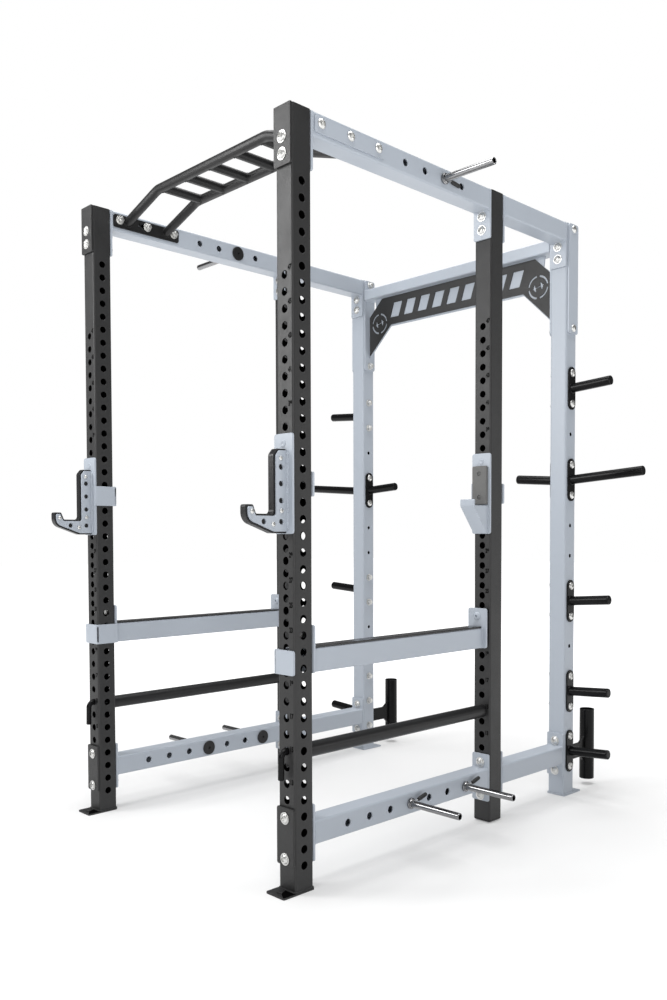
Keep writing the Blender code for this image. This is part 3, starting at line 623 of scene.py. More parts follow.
def nut(at, direction, across=0.0240, h=0.0130, washer=0.0025, stud=0.004):
    """Hex nut on a washer with the end of the bolt showing."""
    d = Vector(direction).normalized()
    at = Vector(at)
    r = across / 2 / math.cos(math.pi / 6)
    body = turned([(r * 0.93, 0.0), (r, 0.0012), (r, h - 0.0012), (r * 0.93, h)], at + d * washer, d, 6)
    w = 0.0170
    ring = turned([(w - 0.0004, 0.0), (w, 0.0004), (w, washer - 0.0004), (w - 0.0004, washer)], at, d, 36)
    end = turned([(0.0079, 0.0), (0.0079, h + stud - 0.001), (0.0069, h + stud)], at + d * washer, d, 20)
    return joined([ring, body, end])


def mirrored(mesh):
    return moved(mesh, Matrix.Diagonal((-1, 1, 1, 1)))


def sided(mesh, s):
    return mesh if s > 0 else mirrored(mesh)


# ------------------------------------------------------------------ uprights
def weld_round(half_x, half_y, cx, cy, z, r=CORNER, size=0.0026, seed=0.0, axis="z"):
    place = FRAMES[axis]
    loop = [place(cx + u, cy + v, z) for u, v in rounded_rect(half_x, half_y, r, 4)]
    return bead(loop, size, closed=True, seed=seed)


def upright_mesh(kind):
    """An upright on x = 0 with its front face on y = 0."""
    bottom = {"front": 0.0010, "rear": 0.0010, "middle": 0.0130}[kind]
    tube = square_tube("z", (0.0, TUBE / 2), bottom, HEIGHT - 0.0024)
    holes = []
    depth = WALL + 0.004
    if kind == "rear":
        for z in STORE:
            for sx in (1, -1):
                holes.append(((sx * TUBE / 2, TUBE / 2, z), (sx, 0, 0), 0.3125 * IN, depth))
    else:
        for i, z in enumerate(ROWS):
            if z < FLANGE_LOW[1] + 0.01:
                continue
            holes.append(((0, 0, z), (0, -1, 0), HOLE_R, depth))
            holes.append(((0, TUBE, z), (0, 1, 0), HOLE_R, depth))
        if kind == "front":
            for z in SIDE_ROWS:
                for sx in (1, -1):
                    holes.append(((sx * TUBE / 2, TUBE / 2, z), (sx, 0, 0), HOLE_R, depth))
    return combine(tube, cut=[drill(holes)])


def foot_mesh(kind):
    w = FOOT_W / 2
    y = (-2 * IN, TUBE + 0.001) if kind == "front" else (-0.001, TUBE + 2 * IN)
    outline = rect((-w, w), y, 0.006)
    hole_y = -0.032 if kind == "front" else TUBE + 0.032
    body = plate(outline, "z", 0.0, FOOT_T, 0.0010)
    cut = turned([(0.007, -0.02), (0.007, -0.0008), (0.0098, 0.002)], (0, hole_y, FOOT_T), (0, 0, 1), 32)
    return combine(body, cut=[cut])


def cap_mesh(lip):
    """Push-in tube cap, slightly crowned."""
    r = CORNER
    loops = []
    for inset, z in ((0.0, -0.0024), (0.0, -0.0010), (0.0005, -0.0004), (0.0014, -0.0001), (0.004, 0.0)):
        loops.append((HEIGHT + z, rounded_rect(TUBE / 2 - inset - lip, TUBE / 2 - inset - lip, max(r - inset, 0.0035))))
    return profile_solid(loops, "z", (0.0, TUBE / 2))


UP = {k: upright_mesh(k) for k in ("front", "middle", "rear")}
for s, w in SIDES:
    for kind, y0, coat, slot_name in (("front", FRONT, POWDER, "upright_front_" + w), ("middle", MID, POWDER, "upright_middle_" + w),
                                      ("rear", REAR, GREY, "upright_rear_" + w)):
        parts = [(shifted(UP[kind], s * CX, y0), coat)]
        if kind == "middle":
            loops = [(0.0035, rounded_rect(TUBE / 2 - 0.0060, TUBE / 2 - 0.0060, 0.004)),
                     (0.0042, rounded_rect(TUBE / 2 - 0.0035, TUBE / 2 - 0.0035, 0.005)),
                     (0.0062, rounded_rect(TUBE / 2 - 0.0012, TUBE / 2 - 0.0012, 0.0065)),
                     (0.0090, rounded_rect(TUBE / 2 - 0.0001, TUBE / 2 - 0.0001, CORNER)),
                     (0.0129, rounded_rect(TUBE / 2 - 0.0001, TUBE / 2 - 0.0001, CORNER))]
            parts.append((profile_solid(loops, "z", (s * CX, y0 + TUBE / 2)), DARK))
        else:
            parts.append((shifted(foot_mesh(kind), s * CX, y0), coat))
            parts.append((weld_round(TUBE / 2 + 0.0006, TUBE / 2 + 0.0006, s * CX, y0 + TUBE / 2, FOOT_T + 0.0004,
                                     size=0.0030, seed=s + y0), coat))
        parts.append((shifted(cap_mesh(0.0), s * CX, y0), coat if kind == "rear" else POWDER))
        o = piece("v_" + slot_name, parts, stands_for=(slot_name,))
        # painted shade: the inside of the upright and its hole walls near-black
        paint_tube_shade(o, "z", (s * CX, y0 + TUBE / 2), span=(0.03, HEIGHT - 0.04) if kind == "rear" else (-9.0, 9.0))

# numerals beside every other hole of the black uprights


def numeral_mesh(text, size, at):
    curve = bpy.data.curves.new("n", "FONT")
    curve.body = text
    curve.size = size
    curve.extrude = 0.00006
    curve.offset = 0.0013
    curve.align_x = "CENTER"
    curve.align_y = "CENTER"
    curve.resolution_u = 3
    o = bpy.data.objects.new("n", curve)
    bpy.context.scene.collection.objects.link(o)
    bpy.context.view_layer.update()
    mesh = bpy.data.meshes.new_from_object(o.evaluated_get(bpy.context.evaluated_depsgraph_get()))
    bpy.data.objects.remove(o)
    bpy.data.curves.remove(curve)
    bm = bmesh.new()
    bm.from_mesh(mesh)
    bmesh.ops.remove_doubles(bm, verts=bm.verts, dist=1e-6)
    turn = Matrix(((0.74, 0, 0, at[0]), (0, 0, -1, at[1]), (0, 1, 0, at[2]), (0, 0, 0, 1)))
    bmesh.ops.transform(bm, matrix=turn, verts=bm.verts)
    out = bpy.data.meshes.new("n")
    bm.to_mesh(out)
    bm.free()
    return out


for s, w in SIDES:
    for kind, y0 in (("front", FRONT), ("middle", MID)):
        texts = []
        for k in range(5, 40, 2):
            texts.append(numeral_mesh(str(k + 8), 0.0215, (s * CX + 0.0235, y0 - 0.00006, ROWS[k] + (0.0080 if k < 13 else 0.0175))))
        piece("numerals_%s_%s" % (kind, w), [(joined(texts), INK)])


# ------------------------------------------------------------------ side beams
def beam_parts(s, y0, y1, zc, flange, bolts, holes, seed):
    a, b = y0 + GAP, y1 - GAP
    cx = s * CX
    tube = square_tube("y", (cx, zc), a + FLANGE_T - 0.002, b - FLANGE_T + 0.002)
    cuts = []
    for y, r in holes:
        for sx in (1, -1):
            cuts.append(((cx + sx * TUBE / 2, y, zc), (sx, 0, 0), r, WALL + 0.004))
    if cuts:
        tube = combine(tube, cut=[drill(cuts)])
    parts = [tube]
    for lo, hi, out in ((a, a + FLANGE_T, -1), (b - FLANGE_T, b, 1)):
        rim = rect((cx - TUBE / 2, cx + TUBE / 2), flange, 0.006)
        body = plate(rim, "y", lo, hi, 0.0012)
        drills = []
        for z in bolts:
            drills.append(turned([(0.0088, -0.02), (0.0088, 0.02)], (cx, (lo + hi) / 2, z), (0, 1, 0), 24))
        drills.append(turned([(0.0120, -0.02), (0.0120, 0.02)], (cx, (lo + hi) / 2, zc), (0, 1, 0), 24))
        parts.append(combine(body, cut=[joined(drills)]))
    loop_half = TUBE / 2 - 0.0003
    for y in (a + FLANGE_T + 0.0006, b - FLANGE_T - 0.0006):
        loop = [(cx + u, y, zc + v) for u, v in rounded_rect(loop_half, loop_half, CORNER, 4)]
        parts.append(bead(loop, 0.0024, closed=True, seed=seed + y))
    return parts


BEAMS = []
for s, w in SIDES:
    spec = (
        ("side_beam_top_front_", FRONT + TUBE, MID, BEAM_TOP_Z, FLANGE_TOP, TOP_BOLTS,
         [(FRONT + k * IN, HOLE_R) for k in (20, 24, 28, 32)]),
        ("side_beam_top_rear_", MID + TUBE, REAR, BEAM_TOP_Z, FLANGE_TOP, TOP_BOLTS, []),
        ("side_beam_bottom_front_", FRONT + TUBE, MID, BEAM_LOW_Z, FLANGE_LOW, LOW_BOLTS,
         [(FRONT + k * IN, HOLE_R) for k in (9, 13, 17, 21, 25, 29, 33)]),
        ("side_beam_bottom_rear_", MID + TUBE, REAR, BEAM_LOW_Z, FLANGE_LOW, LOW_BOLTS, []),
    )
    for i, (name, y0, y1, zc, flange, bolts, holes) in enumerate(spec):
        parts = beam_parts(s, y0, y1, zc, flange, bolts, holes, i + s)
        piece("v_" + name + w, [(m, GREY) for m in parts], stands_for=(name + w,))

# ------------------------------------------------------------------ backing plates
BOLT_Y = button_bolt((0, 0, 0), (0, -1, 0))
BOLT_YW = button_bolt((0, 0, 0), (0, -1, 0), 0.0300, 0.0078, 0.0124, 0.0022)
NUT_Y = nut((0, 0, 0), (0, 1, 0))
for s, w in SIDES:
    cx = s * CX
    y = (FRONT - GAP - FLANGE_T, FRONT - GAP)
    top = fillet([(cx - TUBE / 2, FLANGE_TOP[0]), (cx + TUBE / 2, FLANGE_TOP[0]), (cx + TUBE / 2, HEIGHT), (cx - TUBE / 2, HEIGHT)],
                 [0.007, 0.007, 0.002, 0.002], 5)
    low = rect((cx - TUBE / 2, cx + TUBE / 2), FLANGE_LOW, 0.007)
    for name, outline in (("front_plate_top_" + w, top), ("front_plate_bottom_" + w, low)):
        piece("v_" + name, [(plate(outline, "y", y[0], y[1], 0.0012), POWDER)], stands_for=(name,))
    name = "rear_side_plate_" + w
    xx = (HALF + GAP, HALF + GAP + FLANGE_T) if s > 0 else (-HALF - GAP - FLANGE_T, -HALF - GAP)
    outline = rect((REAR + 0.0060, REAR + TUBE - 0.0010), (1.9370, 2.3880), 0.012)
    piece("v_" + name, [(plate(outline, "x", xx[0], xx[1], 0.0012), GREY)], stands_for=(name,))
    name = "pullup_outer_plate_" + w
    xx = (HALF + GAP, HALF + GAP + PLATE_T) if s > 0 else (-HALF - GAP - PLATE_T, -HALF - GAP)
    outline = rect((FRONT + 0.0880, FRONT + 0.3950), (BEAM_TOP_Z - IN, BEAM_TOP_Z + IN), 0.009)
    piece("v_" + name, [(plate(outline, "x", xx[0], xx[1], 0.0012), GREY)], stands_for=(name,))

    # bolts of the side beams: heads on the outer faces, nuts on the far flange
    heads = []
    for z in TOP_BOLTS + LOW_BOLTS:
        heads.append(shifted(BOLT_YW, cx, FRONT - GAP - FLANGE_T, z))
        heads.append(shifted(NUT_Y, cx, FRONT + TUBE + GAP + FLANGE_T, z))
    piece("bolts_front_" + w, [(joined(heads), ZINC)])
    heads = []
    for z in TOP_BOLTS + LOW_BOLTS:
        heads.append(shifted(BOLT_YW, cx, MID - GAP - FLANGE_T, z))
        heads.append(shifted(NUT_Y, cx, MID + TUBE + GAP + FLANGE_T, z))
    piece("bolts_middle_" + w, [(joined(heads), ZINC)])
    heads = []
    for z in TOP_BOLTS + LOW_BOLTS:
        heads.append(shifted(BOLT_YW, cx, REAR - GAP - FLANGE_T, z))
        if z in LOW_BOLTS:
            continue
        heads.append(shifted(NUT_Y, cx, REAR + TUBE, z))
    piece("bolts_rear_" + w, [(joined(heads), ZINC)])

# ------------------------------------------------------------------ rear crossmember
CROSS_Z = (2.2860, 2.3368)
END = INNER - GAP
END_X = END - FLANGE_T
zc = (CROSS_Z[0] + CROSS_Z[1]) / 2
parts = []
tube = square_tube("x", (YC, zc), -END_X + 0.0, END_X, half=(TUBE / 2, (CROSS_Z[1] - CROSS_Z[0]) / 2), r=0.006, wall=0.004)
parts.append(tube)
for s in (1, -1):
    lo, hi = (END_X, END) if s > 0 else (-END, -END_X)
    body = plate(rect((REAR + 0.0060, REAR + TUBE - 0.0010), (1.9370, 2.3880), 0.012), "x", lo, hi, 0.0012)
    parts.append(body)
    loop = [(s * (END_X - 0.0006), YC + u, zc + v) for u, v in rounded_rect(TUBE / 2 - 0.003, (CROSS_Z[1] - CROSS_Z[0]) / 2 - 0.0003, 0.006, 4)]
    parts.append(bead(loop, 0.0024, closed=True, seed=s))
X1 = END_X - 0.0002
backing = fillet([(-X1, 2.2010), (-X1 + 0.0480, 2.2420), (-0.4950, 2.2859), (0.4950, 2.2859), (X1 - 0.0480, 2.2420), (X1, 2.2010),
                  (X1, 1.9960), (0.3900, 2.1380), (-0.3900, 2.1380), (-X1, 1.9960)],
                 [0, 0.004, 0.002, 0.002, 0.004, 0, 0.002, 0.006, 0.006, 0.002], 3)
parts.append(plate(backing, "y", YC - 0.0030, YC + 0.0030, 0.0006, 1))
parts.append(bead([(-0.494, YC - 0.0030, 2.2852), (0.494, YC - 0.0030, 2.2852)], 0.0018, seed=3.0))
parts.append(bead([(-0.494, YC + 0.0030, 2.2852), (0.494, YC + 0.0030, 2.2852)], 0.0018, seed=4.0))
piece("v_rear_crossmember", [(m, GREY) for m in parts], stands_for=("rear_crossmember",))

heads = []
BOLT_X = button_bolt((0, 0, 0), (1, 0, 0), washer=0.0)
NUT_X = nut((0, 0, 0), (-1, 0, 0))
for s, w in SIDES:
    heads = []
    for z in (1.9610, 2.3674):
        heads.append(shifted(sided(BOLT_X, s), s * (HALF + GAP + FLANGE_T), YC + 0.0025, z))
        heads.append(shifted(sided(NUT_X, s), s * END_X, YC + 0.0025, z))
    piece("bolts_crossmember_" + w, [(joined(heads), ZINC)])

# the panel in front of the sheet, cut through with plain slanted bars and broken rings
panel_front = YC - 0.0030 - GAP - 0.0030
panel = plate(fillet([(-0.5310, 2.2020), (-0.4470, 2.2830), (0.4470, 2.2830), (0.5310, 2.2020),
                      (0.5310, 2.0080), (0.3870, 2.1460), (-0.3870, 2.1460), (-0.5310, 2.0080)], 0.002, 2),
              "y", panel_front, panel_front + 0.0030, 0.0004, 1)
cuts = []
for k in range(9):
    u = -0.3520 + k * 0.0880
    bar = fillet([(u - 0.040, 2.1800), (u + 0.016, 2.1800), (u + 0.040, 2.2500), (u - 0.016, 2.2500)], 0.0025, 3)
    cuts.append(plate(bar, "y", panel_front - 0.01, panel_front + 0.01, 0))
for s in (1, -1):
    for low, high in ((8, 82), (98, 172), (188, 262), (278, 352)):
        ring = []
        for k in range(13):
            a = math.radians(low + (high - low) * k / 12)
            ring.append((s * 0.4630 + 0.0505 * math.cos(a), 2.1615 + 0.0505 * math.sin(a)))
        for k in range(12, -1, -1):
            a = math.radians(low + (high - low) * k / 12)
            ring.append((s * 0.4630 + 0.0425 * math.cos(a), 2.1615 + 0.0425 * math.sin(a)))
        cuts.append(plate(ring, "y", panel_front - 0.01, panel_front + 0.01, 0))
    # a plain barbell shape, cut through
    half = [(0.0, -0.0020), (0.0130, -0.0020), (0.0130, -0.0150), (0.0190, -0.0150), (0.0190, -0.0095), (0.0230, -0.0095), (0.0230, -0.0020),
            (0.0290, -0.0020), (0.0290, 0.0020), (0.0230, 0.0020), (0.0230, 0.0095), (0.0190, 0.0095), (0.0190, 0.0150), (0.0130, 0.0150),
            (0.0130, 0.0020), (0.0, 0.0020)]
    tilt = math.radians(14)
    mark = half + [(-u, v) for u, v in reversed(half)][1:-1]
    cuts.append(plate([(s * 0.4630 + u * math.cos(tilt) - v * math.sin(tilt), 2.1615 + u * math.sin(tilt) + v * math.cos(tilt)) for u, v in mark],
                      "y", panel_front - 0.01, panel_front + 0.01, 0))
piece("v_nameplate", [(combine(panel, cut=[joined(cuts)]), POWDER)], stands_for=("nameplate",))

# ------------------------------------------------------------------ pull-up bar
PD = 0.0350
BARS = ((FRONT + 0.1524, 2.4263, 0.325), (FRONT + 0.3334, 2.4263, 0.325))
mains, beads = [], []
foot_x = INNER - GAP - PLATE_T + 0.001
for y, z, bx in BARS:
    fz = BEAM_TOP_Z + 0.004
    pts = [Vector((-foot_x, y, fz))]
    pts += bend((-foot_x, y, fz), (-bx, y, z), (0, y, z), 0.110)
    pts += bend((0, y, z), (bx, y, z), (foot_x, y, fz), 0.110)
    pts.append(Vector((foot_x, y, fz)))
    mains.append(sweep(pts, PD / 2, 28))
    for s in (1, -1):
        ring = []
        for k in range(24):
            a = 2 * math.pi * k / 24
            ring.append((s * foot_x - s * 0.0005, y + (PD / 2) * math.cos(a), fz + (PD / 2 + 0.0006) * math.sin(a)))
        beads.append(bead(ring, 0.0024, closed=True, seed=y))
grips = []
for k in range(-2, 3):
    x = 0.1465 * k
    r = 0.0170
    a, b = BARS
    grips.append(sweep([(x, a[0], a[1]), (x, b[0], b[1])], r, 26))
    for (y, z, _), toward in ((a, 1), (b, -1)):
        ring = []
        for i in range(28):
            t = 2 * math.pi * i / 28
            du, dv = (r + 0.0004) * math.cos(t), min((r + 0.0004) * math.sin(t), 0.0152)
            ring.append((x + du, y + toward * math.sqrt(max((PD / 2) ** 2 - dv ** 2, 1e-6)), z + dv))
        beads.append(bead(ring, 0.0021, closed=True, seed=x + y))
brackets = []
for s in (1, -1):
    lo, hi = (INNER - GAP - PLATE_T, INNER - GAP) if s > 0 else (-INNER + GAP, -INNER + GAP + PLATE_T)
    side = plate(rect((FRONT + 0.0880, FRONT + 0.3950), (BEAM_TOP_Z - IN, BEAM_TOP_Z + IN), 0.009), "x", lo, hi, 0.0012)
    slot = plate(pill(BRACKET_BOLTS[1] - 0.0120, BEAM_TOP_Z + 0.004, 0.0540, 0.0180), "x", lo - 0.004, hi + 0.004, 0)
    brackets.append(combine(side, cut=[slot]))
steel = combine(mains[0], add=[mains[1]] + grips)
piece("v_pullup_bar", [(steel, PIPE_COAT)] + [(m, PIPE_COAT) for m in brackets + beads], stands_for=("pullup_bar",))
for s, w in SIDES:
    heads = []
    for y in BRACKET_BOLTS:
        heads.append(shifted(sided(BOLT_X, s), s * (HALF + GAP + PLATE_T), y, BEAM_TOP_Z + 0.004))
        heads.append(shifted(sided(NUT_X, s), s * (INNER - GAP - PLATE_T), y, BEAM_TOP_Z + 0.004))
    piece("bolts_pullup_" + w, [(joined(heads), ZINC)])


# ------------------------------------------------------------------ weight pegs
def peg_meshes(reach):
    """A peg that points along +X, tilted 4 degrees up, from a plate whose back is at x = 0."""
    base = plate(pill(0.0, 0.0, 2 * IN, 7 * IN), "x", 0.0, PLATE_T, 0.0014, 3)
    holes = [turned([(0.0088, -0.02), (0.0088, 0.02)], (PLATE_T, 0, z), (1, 0, 0), 24) for z in (-2.5 * IN, 2.5 * IN)]
    base = combine(base, cut=[joined(holes)])
    r = 0.75 * IN
    bar = turned([(r, 0.002), (r, reach - 0.0030), (r - 0.0009, reach - 0.0009), (r - 0.0030, reach), (r - 0.0048, reach),
                  (r - 0.0052, reach - 0.0010), (r - 0.0060, reach - 0.0010), (r - 0.0066, reach - 0.0002), (0.0, reach + 0.0003)],
                 (0, 0, 0), (1, 0, 0), 36)
    tilt = Matrix.Rotation(math.radians(-4), 4, "Y")
    bar = moved(bar, tilt)
    ring = []
    for k in range(36):
        a = 2 * math.pi * k / 36
        ring.append((PLATE_T + 0.0002, (r + 0.0006) * math.cos(a), (r + 0.0006) * math.sin(a) + 0.0005))
    return [base, bar, bead(ring, 0.0030, closed=True)]


PEGS = {"short": peg_meshes(0.1840 - GAP), "long": peg_meshes(0.3270 - GAP)}
ROWS_OF_PEGS = (("1", 13, "short"), ("2", 10, "long"), ("3", 6, "short"), ("4", 3, "short"), ("5", 1, "short"))
HALF_TURN = Matrix.Rotation(math.pi, 4, "Z")
for s, w in SIDES:
    heads = []
    spots = [("weight_peg_%s_%s" % (w, label), (STORE[row] + STORE[row - 1]) / 2, kind, 1) for label, row, kind in ROWS_OF_PEGS]
    spots.append(("weight_peg_inner_" + w, (STORE[10] + STORE[9]) / 2, "short", -1))
    for name, z, kind, out in spots:
        turn = Matrix.Identity(4) if s * out > 0 else HALF_TURN
        place = Matrix.Translation((s * (HALF + GAP) if out > 0 else s * (INNER - GAP), YC, z)) @ turn
        piece("v_" + name, [(moved(m, place), SATIN) for m in PEGS[kind]], stands_for=(name,))
        for dz in (-2.5 * IN, 2.5 * IN):
            at = place @ Vector((PLATE_T, 0, dz))
            direction = (place.to_3x3() @ Vector((1, 0, 0)))
            heads.append(button_bolt(at, direction))
            if out > 0 and not (kind == "long"):
                heads.append(nut((s * INNER, YC, z + dz), (-s, 0, 0)))
    piece("bolts_pegs_" + w, [(joined(heads), ZINC)])

# ------------------------------------------------------------------ bar holders
for s, w in SIDES:
    cx = s * CX
    y0 = REAR + TUBE + GAP
    yh = REAR + TUBE + 0.1725
    z = 0.1625
    base = plate(pill(cx, z, 2 * IN, 7 * IN), "y", y0, y0 + PLATE_T, 0.0014, 3)
    edge = yh - 1.25 * IN + 0.003
    arm = plate(fillet([(y0 + 0.002, z - 0.031), (edge - 0.030, z - 0.031), (edge, z - 0.057), (edge, z + 0.057),
                        (edge - 0.034, z + 0.031), (y0 + 0.002, z + 0.031)], [0, 0.014, 0, 0, 0.014, 0], 5), "x", cx - 0.006, cx + 0.006, 0.0008)
    lo, hi = 0.0280, 0.3350
    r, ri = 1.25 * IN - 0.00045, 1.25 * IN - 0.0035
    cup = turned([(r - 0.001, lo), (r, lo + 0.001), (r, hi - 0.001), (r - 0.001, hi), (ri + 0.0008, hi), (ri, hi - 0.0008), (ri, lo + 0.004),
                  (0.0, lo + 0.004)], (cx, yh, 0), (0, 0, 1), 48)
    bm = bmesh.new(); bm.from_mesh(cup)
    cup = done(bm, merge=0)
    beads = []
    for dx in (1, -1):
        beads.append(bead([(cx + dx * 0.0062, edge + 0.0012, z - 0.055), (cx + dx * 0.0062, edge + 0.0012, z + 0.055)], 0.0026, seed=dx))
        beads.append(bead([(cx + dx * 0.0062, y0 + PLATE_T + 0.0004, z - 0.030), (cx + dx * 0.0062, y0 + PLATE_T + 0.0004, z + 0.030)], 0.0026, seed=dx))
    name = "bar_holder_" + w
    piece("v_" + name, [(m, SATIN) for m in [base, arm, cup] + beads], stands_for=(name,))
    heads = [button_bolt((cx, y0 + PLATE_T, z + dz), (0, 1, 0)) for dz in (-2.5 * IN, 2.5 * IN)]
    piece("bolts_holder_" + w, [(joined(heads), ZINC)])


# ------------------------------------------------------------------ band pegs
def band_peg_parts(lever_turn):
    """Plated peg along +X from the beam's outer face at x = 0, with a pull ring lever and the inner disc."""
    r = 0.0121
    L = 0.2160
    bar = turned([(r, -TUBE - 0.0011), (r, L - 0.0022), (r - 0.0008, L - 0.0006), (r - 0.0022, L), (0.0092, L), (0.0088, L - 0.0006),
                  (0.0086, L - 0.034), (0.0, L - 0.035)], (0, 0, 0), (1, 0, 0), 36)
    collar = turned([(0.0126, GAP), (0.0180, GAP), (0.0190, 0.0014), (0.0190, 0.0070), (0.0182, 0.0078), (0.0166, 0.0082), (0.0160, 0.0118),
                     (0.0146, 0.0126), (0.0126, 0.0126)], (0, 0, 0), (1, 0, 0), 40)
    slot_cut = block((0.0080, 0.0160), (-0.0022, 0.0022), (0.0100, 0.0200), 0)
    slot_cut = moved(slot_cut, Matrix.Rotation(math.radians(lever_turn), 4, "X"))
    collar = combine(collar, cut=[slot_cut])
    disc = turned([(0.0300 - 0.0012, -TUBE - 0.0063), (0.0300, -TUBE - 0.0050), (0.0300, -TUBE - 0.0015), (0.0290, -TUBE - GAP), (0.0, -TUBE - GAP)],
                  (0, 0, 0), (1, 0, 0), 44)
    disc = combine(disc, cut=[hex_socket((-TUBE - 0.0063, 0, 0), (-1, 0, 0), 0.0100, 0.0045)])
    stem = [(0.0100, 0.0, 0.0170), (0.0100, 0.0, 0.0240), (0.0120, 0.0, 0.0290)]
    wire = sweep([Vector(p) for p in stem], 0.0022, 12)
    grip = turned([(0.0020, 0.0), (0.0056, 0.0012), (0.0070, 0.0045), (0.0073, 0.0160), (0.0070, 0.0380), (0.0058, 0.0415), (0.0, 0.0430)],
                  (0.0118, 0.0, 0.0275), (0.10, 0.0, 1.0), 24)
    turn = Matrix.Rotation(math.radians(lever_turn), 4, "X")
    return [(bar, CHROME), (collar, CHROME), (disc, PIPE_COAT)], [(moved(wire, turn), CHROME), (moved(grip, turn), RUBBER)]


for s, w in SIDES:
    for label, y, z, lever in (("top", TOP_PEG, BEAM_TOP_Z, -102.0), ("bottom_front", LOW_PEGS[0], BEAM_LOW_Z, -70.0),
                               ("bottom_rear", LOW_PEGS[1], BEAM_LOW_Z, -70.0)):
        place = Matrix.Translation((s * HALF, y, z))
        flip = Matrix.Identity(4) if s > 0 else Matrix.Diagonal((-1, 1, 1, 1))
        main, extra = band_peg_parts(lever)
        name = "band_peg_%s_%s" % (label, w)
        piece("v_" + name, [(moved(m, place @ flip), mat) for m, mat in main], stands_for=(name,))
        piece("lever_%s_%s" % (label, w), [(moved(m, place @ flip), mat) for m, mat in extra])


# ------------------------------------------------------------------ J-cups
def socket_screw(at, direction, d=0.0150, h=0.0052, socket=0.0050):
    return button_bolt(at, direction, d, h, socket)


def jcup_front(s, w):
    body = "jcup_front_" + w
    cx = s * CX
    f = FRONT
    y0, yb = f - GAP, f - GAP - FLANGE_T
    back = plate(rect((cx - 0.0420, cx + 0.0420), (1.1060, 1.4100), 0.009), "y", yb, y0, 0.0014, 3)
    strap = block(*(((INNER - GAP - FLANGE_T, INNER - GAP), (yb + 0.0005, f + TUBE + GAP + FLANGE_T), (1.2210, 1.2975)) if s > 0 else
                    ((-INNER + GAP, -INNER + GAP + FLANGE_T), (yb + 0.0005, f + TUBE + GAP + FLANGE_T), (1.2210, 1.2975))), 0.0012)
    inner_x = INNER - GAP - FLANGE_T
    lx = (inner_x, HALF + 0.0020) if s > 0 else (-HALF - 0.0020, -inner_x)
    lip = plate(rect(lx, (1.2210, 1.2975), 0.006), "y", f + TUBE + GAP, f + TUBE + GAP + FLANGE_T, 0.0012)
    line = fillet([(yb + 0.001, 1.1130), (f - 0.0600, 1.1130), (f - 0.1590, 1.1485), (f - 0.1590, 1.1870),
                   (f - 0.1430, 1.1870), (f - 0.1310, 1.1600), (f - 0.0520, 1.1600), (f - 0.0520, 1.3400),
                   (f - 0.0400, 1.3570), (yb + 0.001, 1.3570)],
                  [0, 0.020, 0.030, 0.005, 0.004, 0.004, 0.010, 0.012, 0.007, 0], 8)
    cheeks = []
    small = [(f - 0.0325, 1.3070), (f - 0.0325, 1.2570), (f - 0.0325, 1.2060), (f - 0.0325, 1.1430), (f - 0.1006, 1.1430)]
    for e in (1, -1):
        lo = cx + e * (0.5 * IN + GAP)
        hi = lo + e * 0.25 * IN
        body_mesh = plate(line, "x", min(lo, hi), max(lo, hi), 0.0010)
        cuts = drill([((hi, y, z), (e, 0, 0), 0.0088, 0.012) for y, z in small], 24)
        cheeks.append(combine(body_mesh, cut=[cuts]))
    pin = turned([(PIN_D / 2, -0.004), (PIN_D / 2, 0.0425), (PIN_D / 2 - 0.0008, 0.0440), (PIN_D / 2 - 0.0025, 0.0450), (0.0, 0.0450)],
                 (cx, f, JCUP_PIN_Z), (0, 1, 0), 32)
    plug = turned([(0.0112, 0.0), (0.0106, 0.0011), (0.0090, 0.0018), (0.0070, 0.0019), (0.0052, 0.0011), (0.0, 0.0009)], (cx, yb, JCUP_PIN_Z), (0, -1, 0), 28)
    beads = []
    for e in (1, -1):
        x = cx + e * (0.75 * IN + 0.0016)
        beads.append(bead([(x, yb - 0.0008, 1.1180), (x, yb - 0.0008, 1.3530)], 0.0046, pitch=0.0050, seed=e))
    sx = s * (INNER - GAP - FLANGE_T / 2)
    beads.append(bead([(s * (INNER - 0.0006), yb + 0.0002, 1.2230), (s * (INNER - 0.0006), yb + 0.0002, 1.2955)], 0.0022, seed=2))
    parts = [(m, GREY) for m in [back, strap, lip, pin, plug] + cheeks + beads]
    screws = []
    for y, z in ((f - 0.0346, 1.3330), (f - 0.0320, 1.1750), (f - 0.0650, 1.1350), (f - 0.1457, 1.1720)):
        for e in (1, -1):
            screws.append(socket_screw((cx + e * (0.75 * IN + GAP), y, z), (e, 0, 0)))
    piece("v_jcup_front_" + w, parts, body, ("jcup_front_" + w,))
    piece("screws_jcup_front_" + w, [(joined(screws), ZINC)], body)
    core = fillet([(yb - GAP, 1.1080), (f - 0.0620, 1.1080), (f - 0.1650, 1.1440), (f - 0.1650, 1.1930),
                   (f - 0.1360, 1.1930), (f - 0.1250, 1.1660), (f - 0.0580, 1.1660), (f - 0.0580, 1.3440),
                   (f - 0.0430, 1.3620), (yb - GAP, 1.3620)],
                  [0, 0.022, 0.036, 0.007, 0.006, 0.005, 0.013, 0.016, 0.009, 0], 9)
    piece("v_jcup_liner_front_" + w, [(plate(core, "x", cx - 0.5 * IN, cx + 0.5 * IN, 0.0016, 3), UHMW)], body,
          ("jcup_liner_front_" + w,))


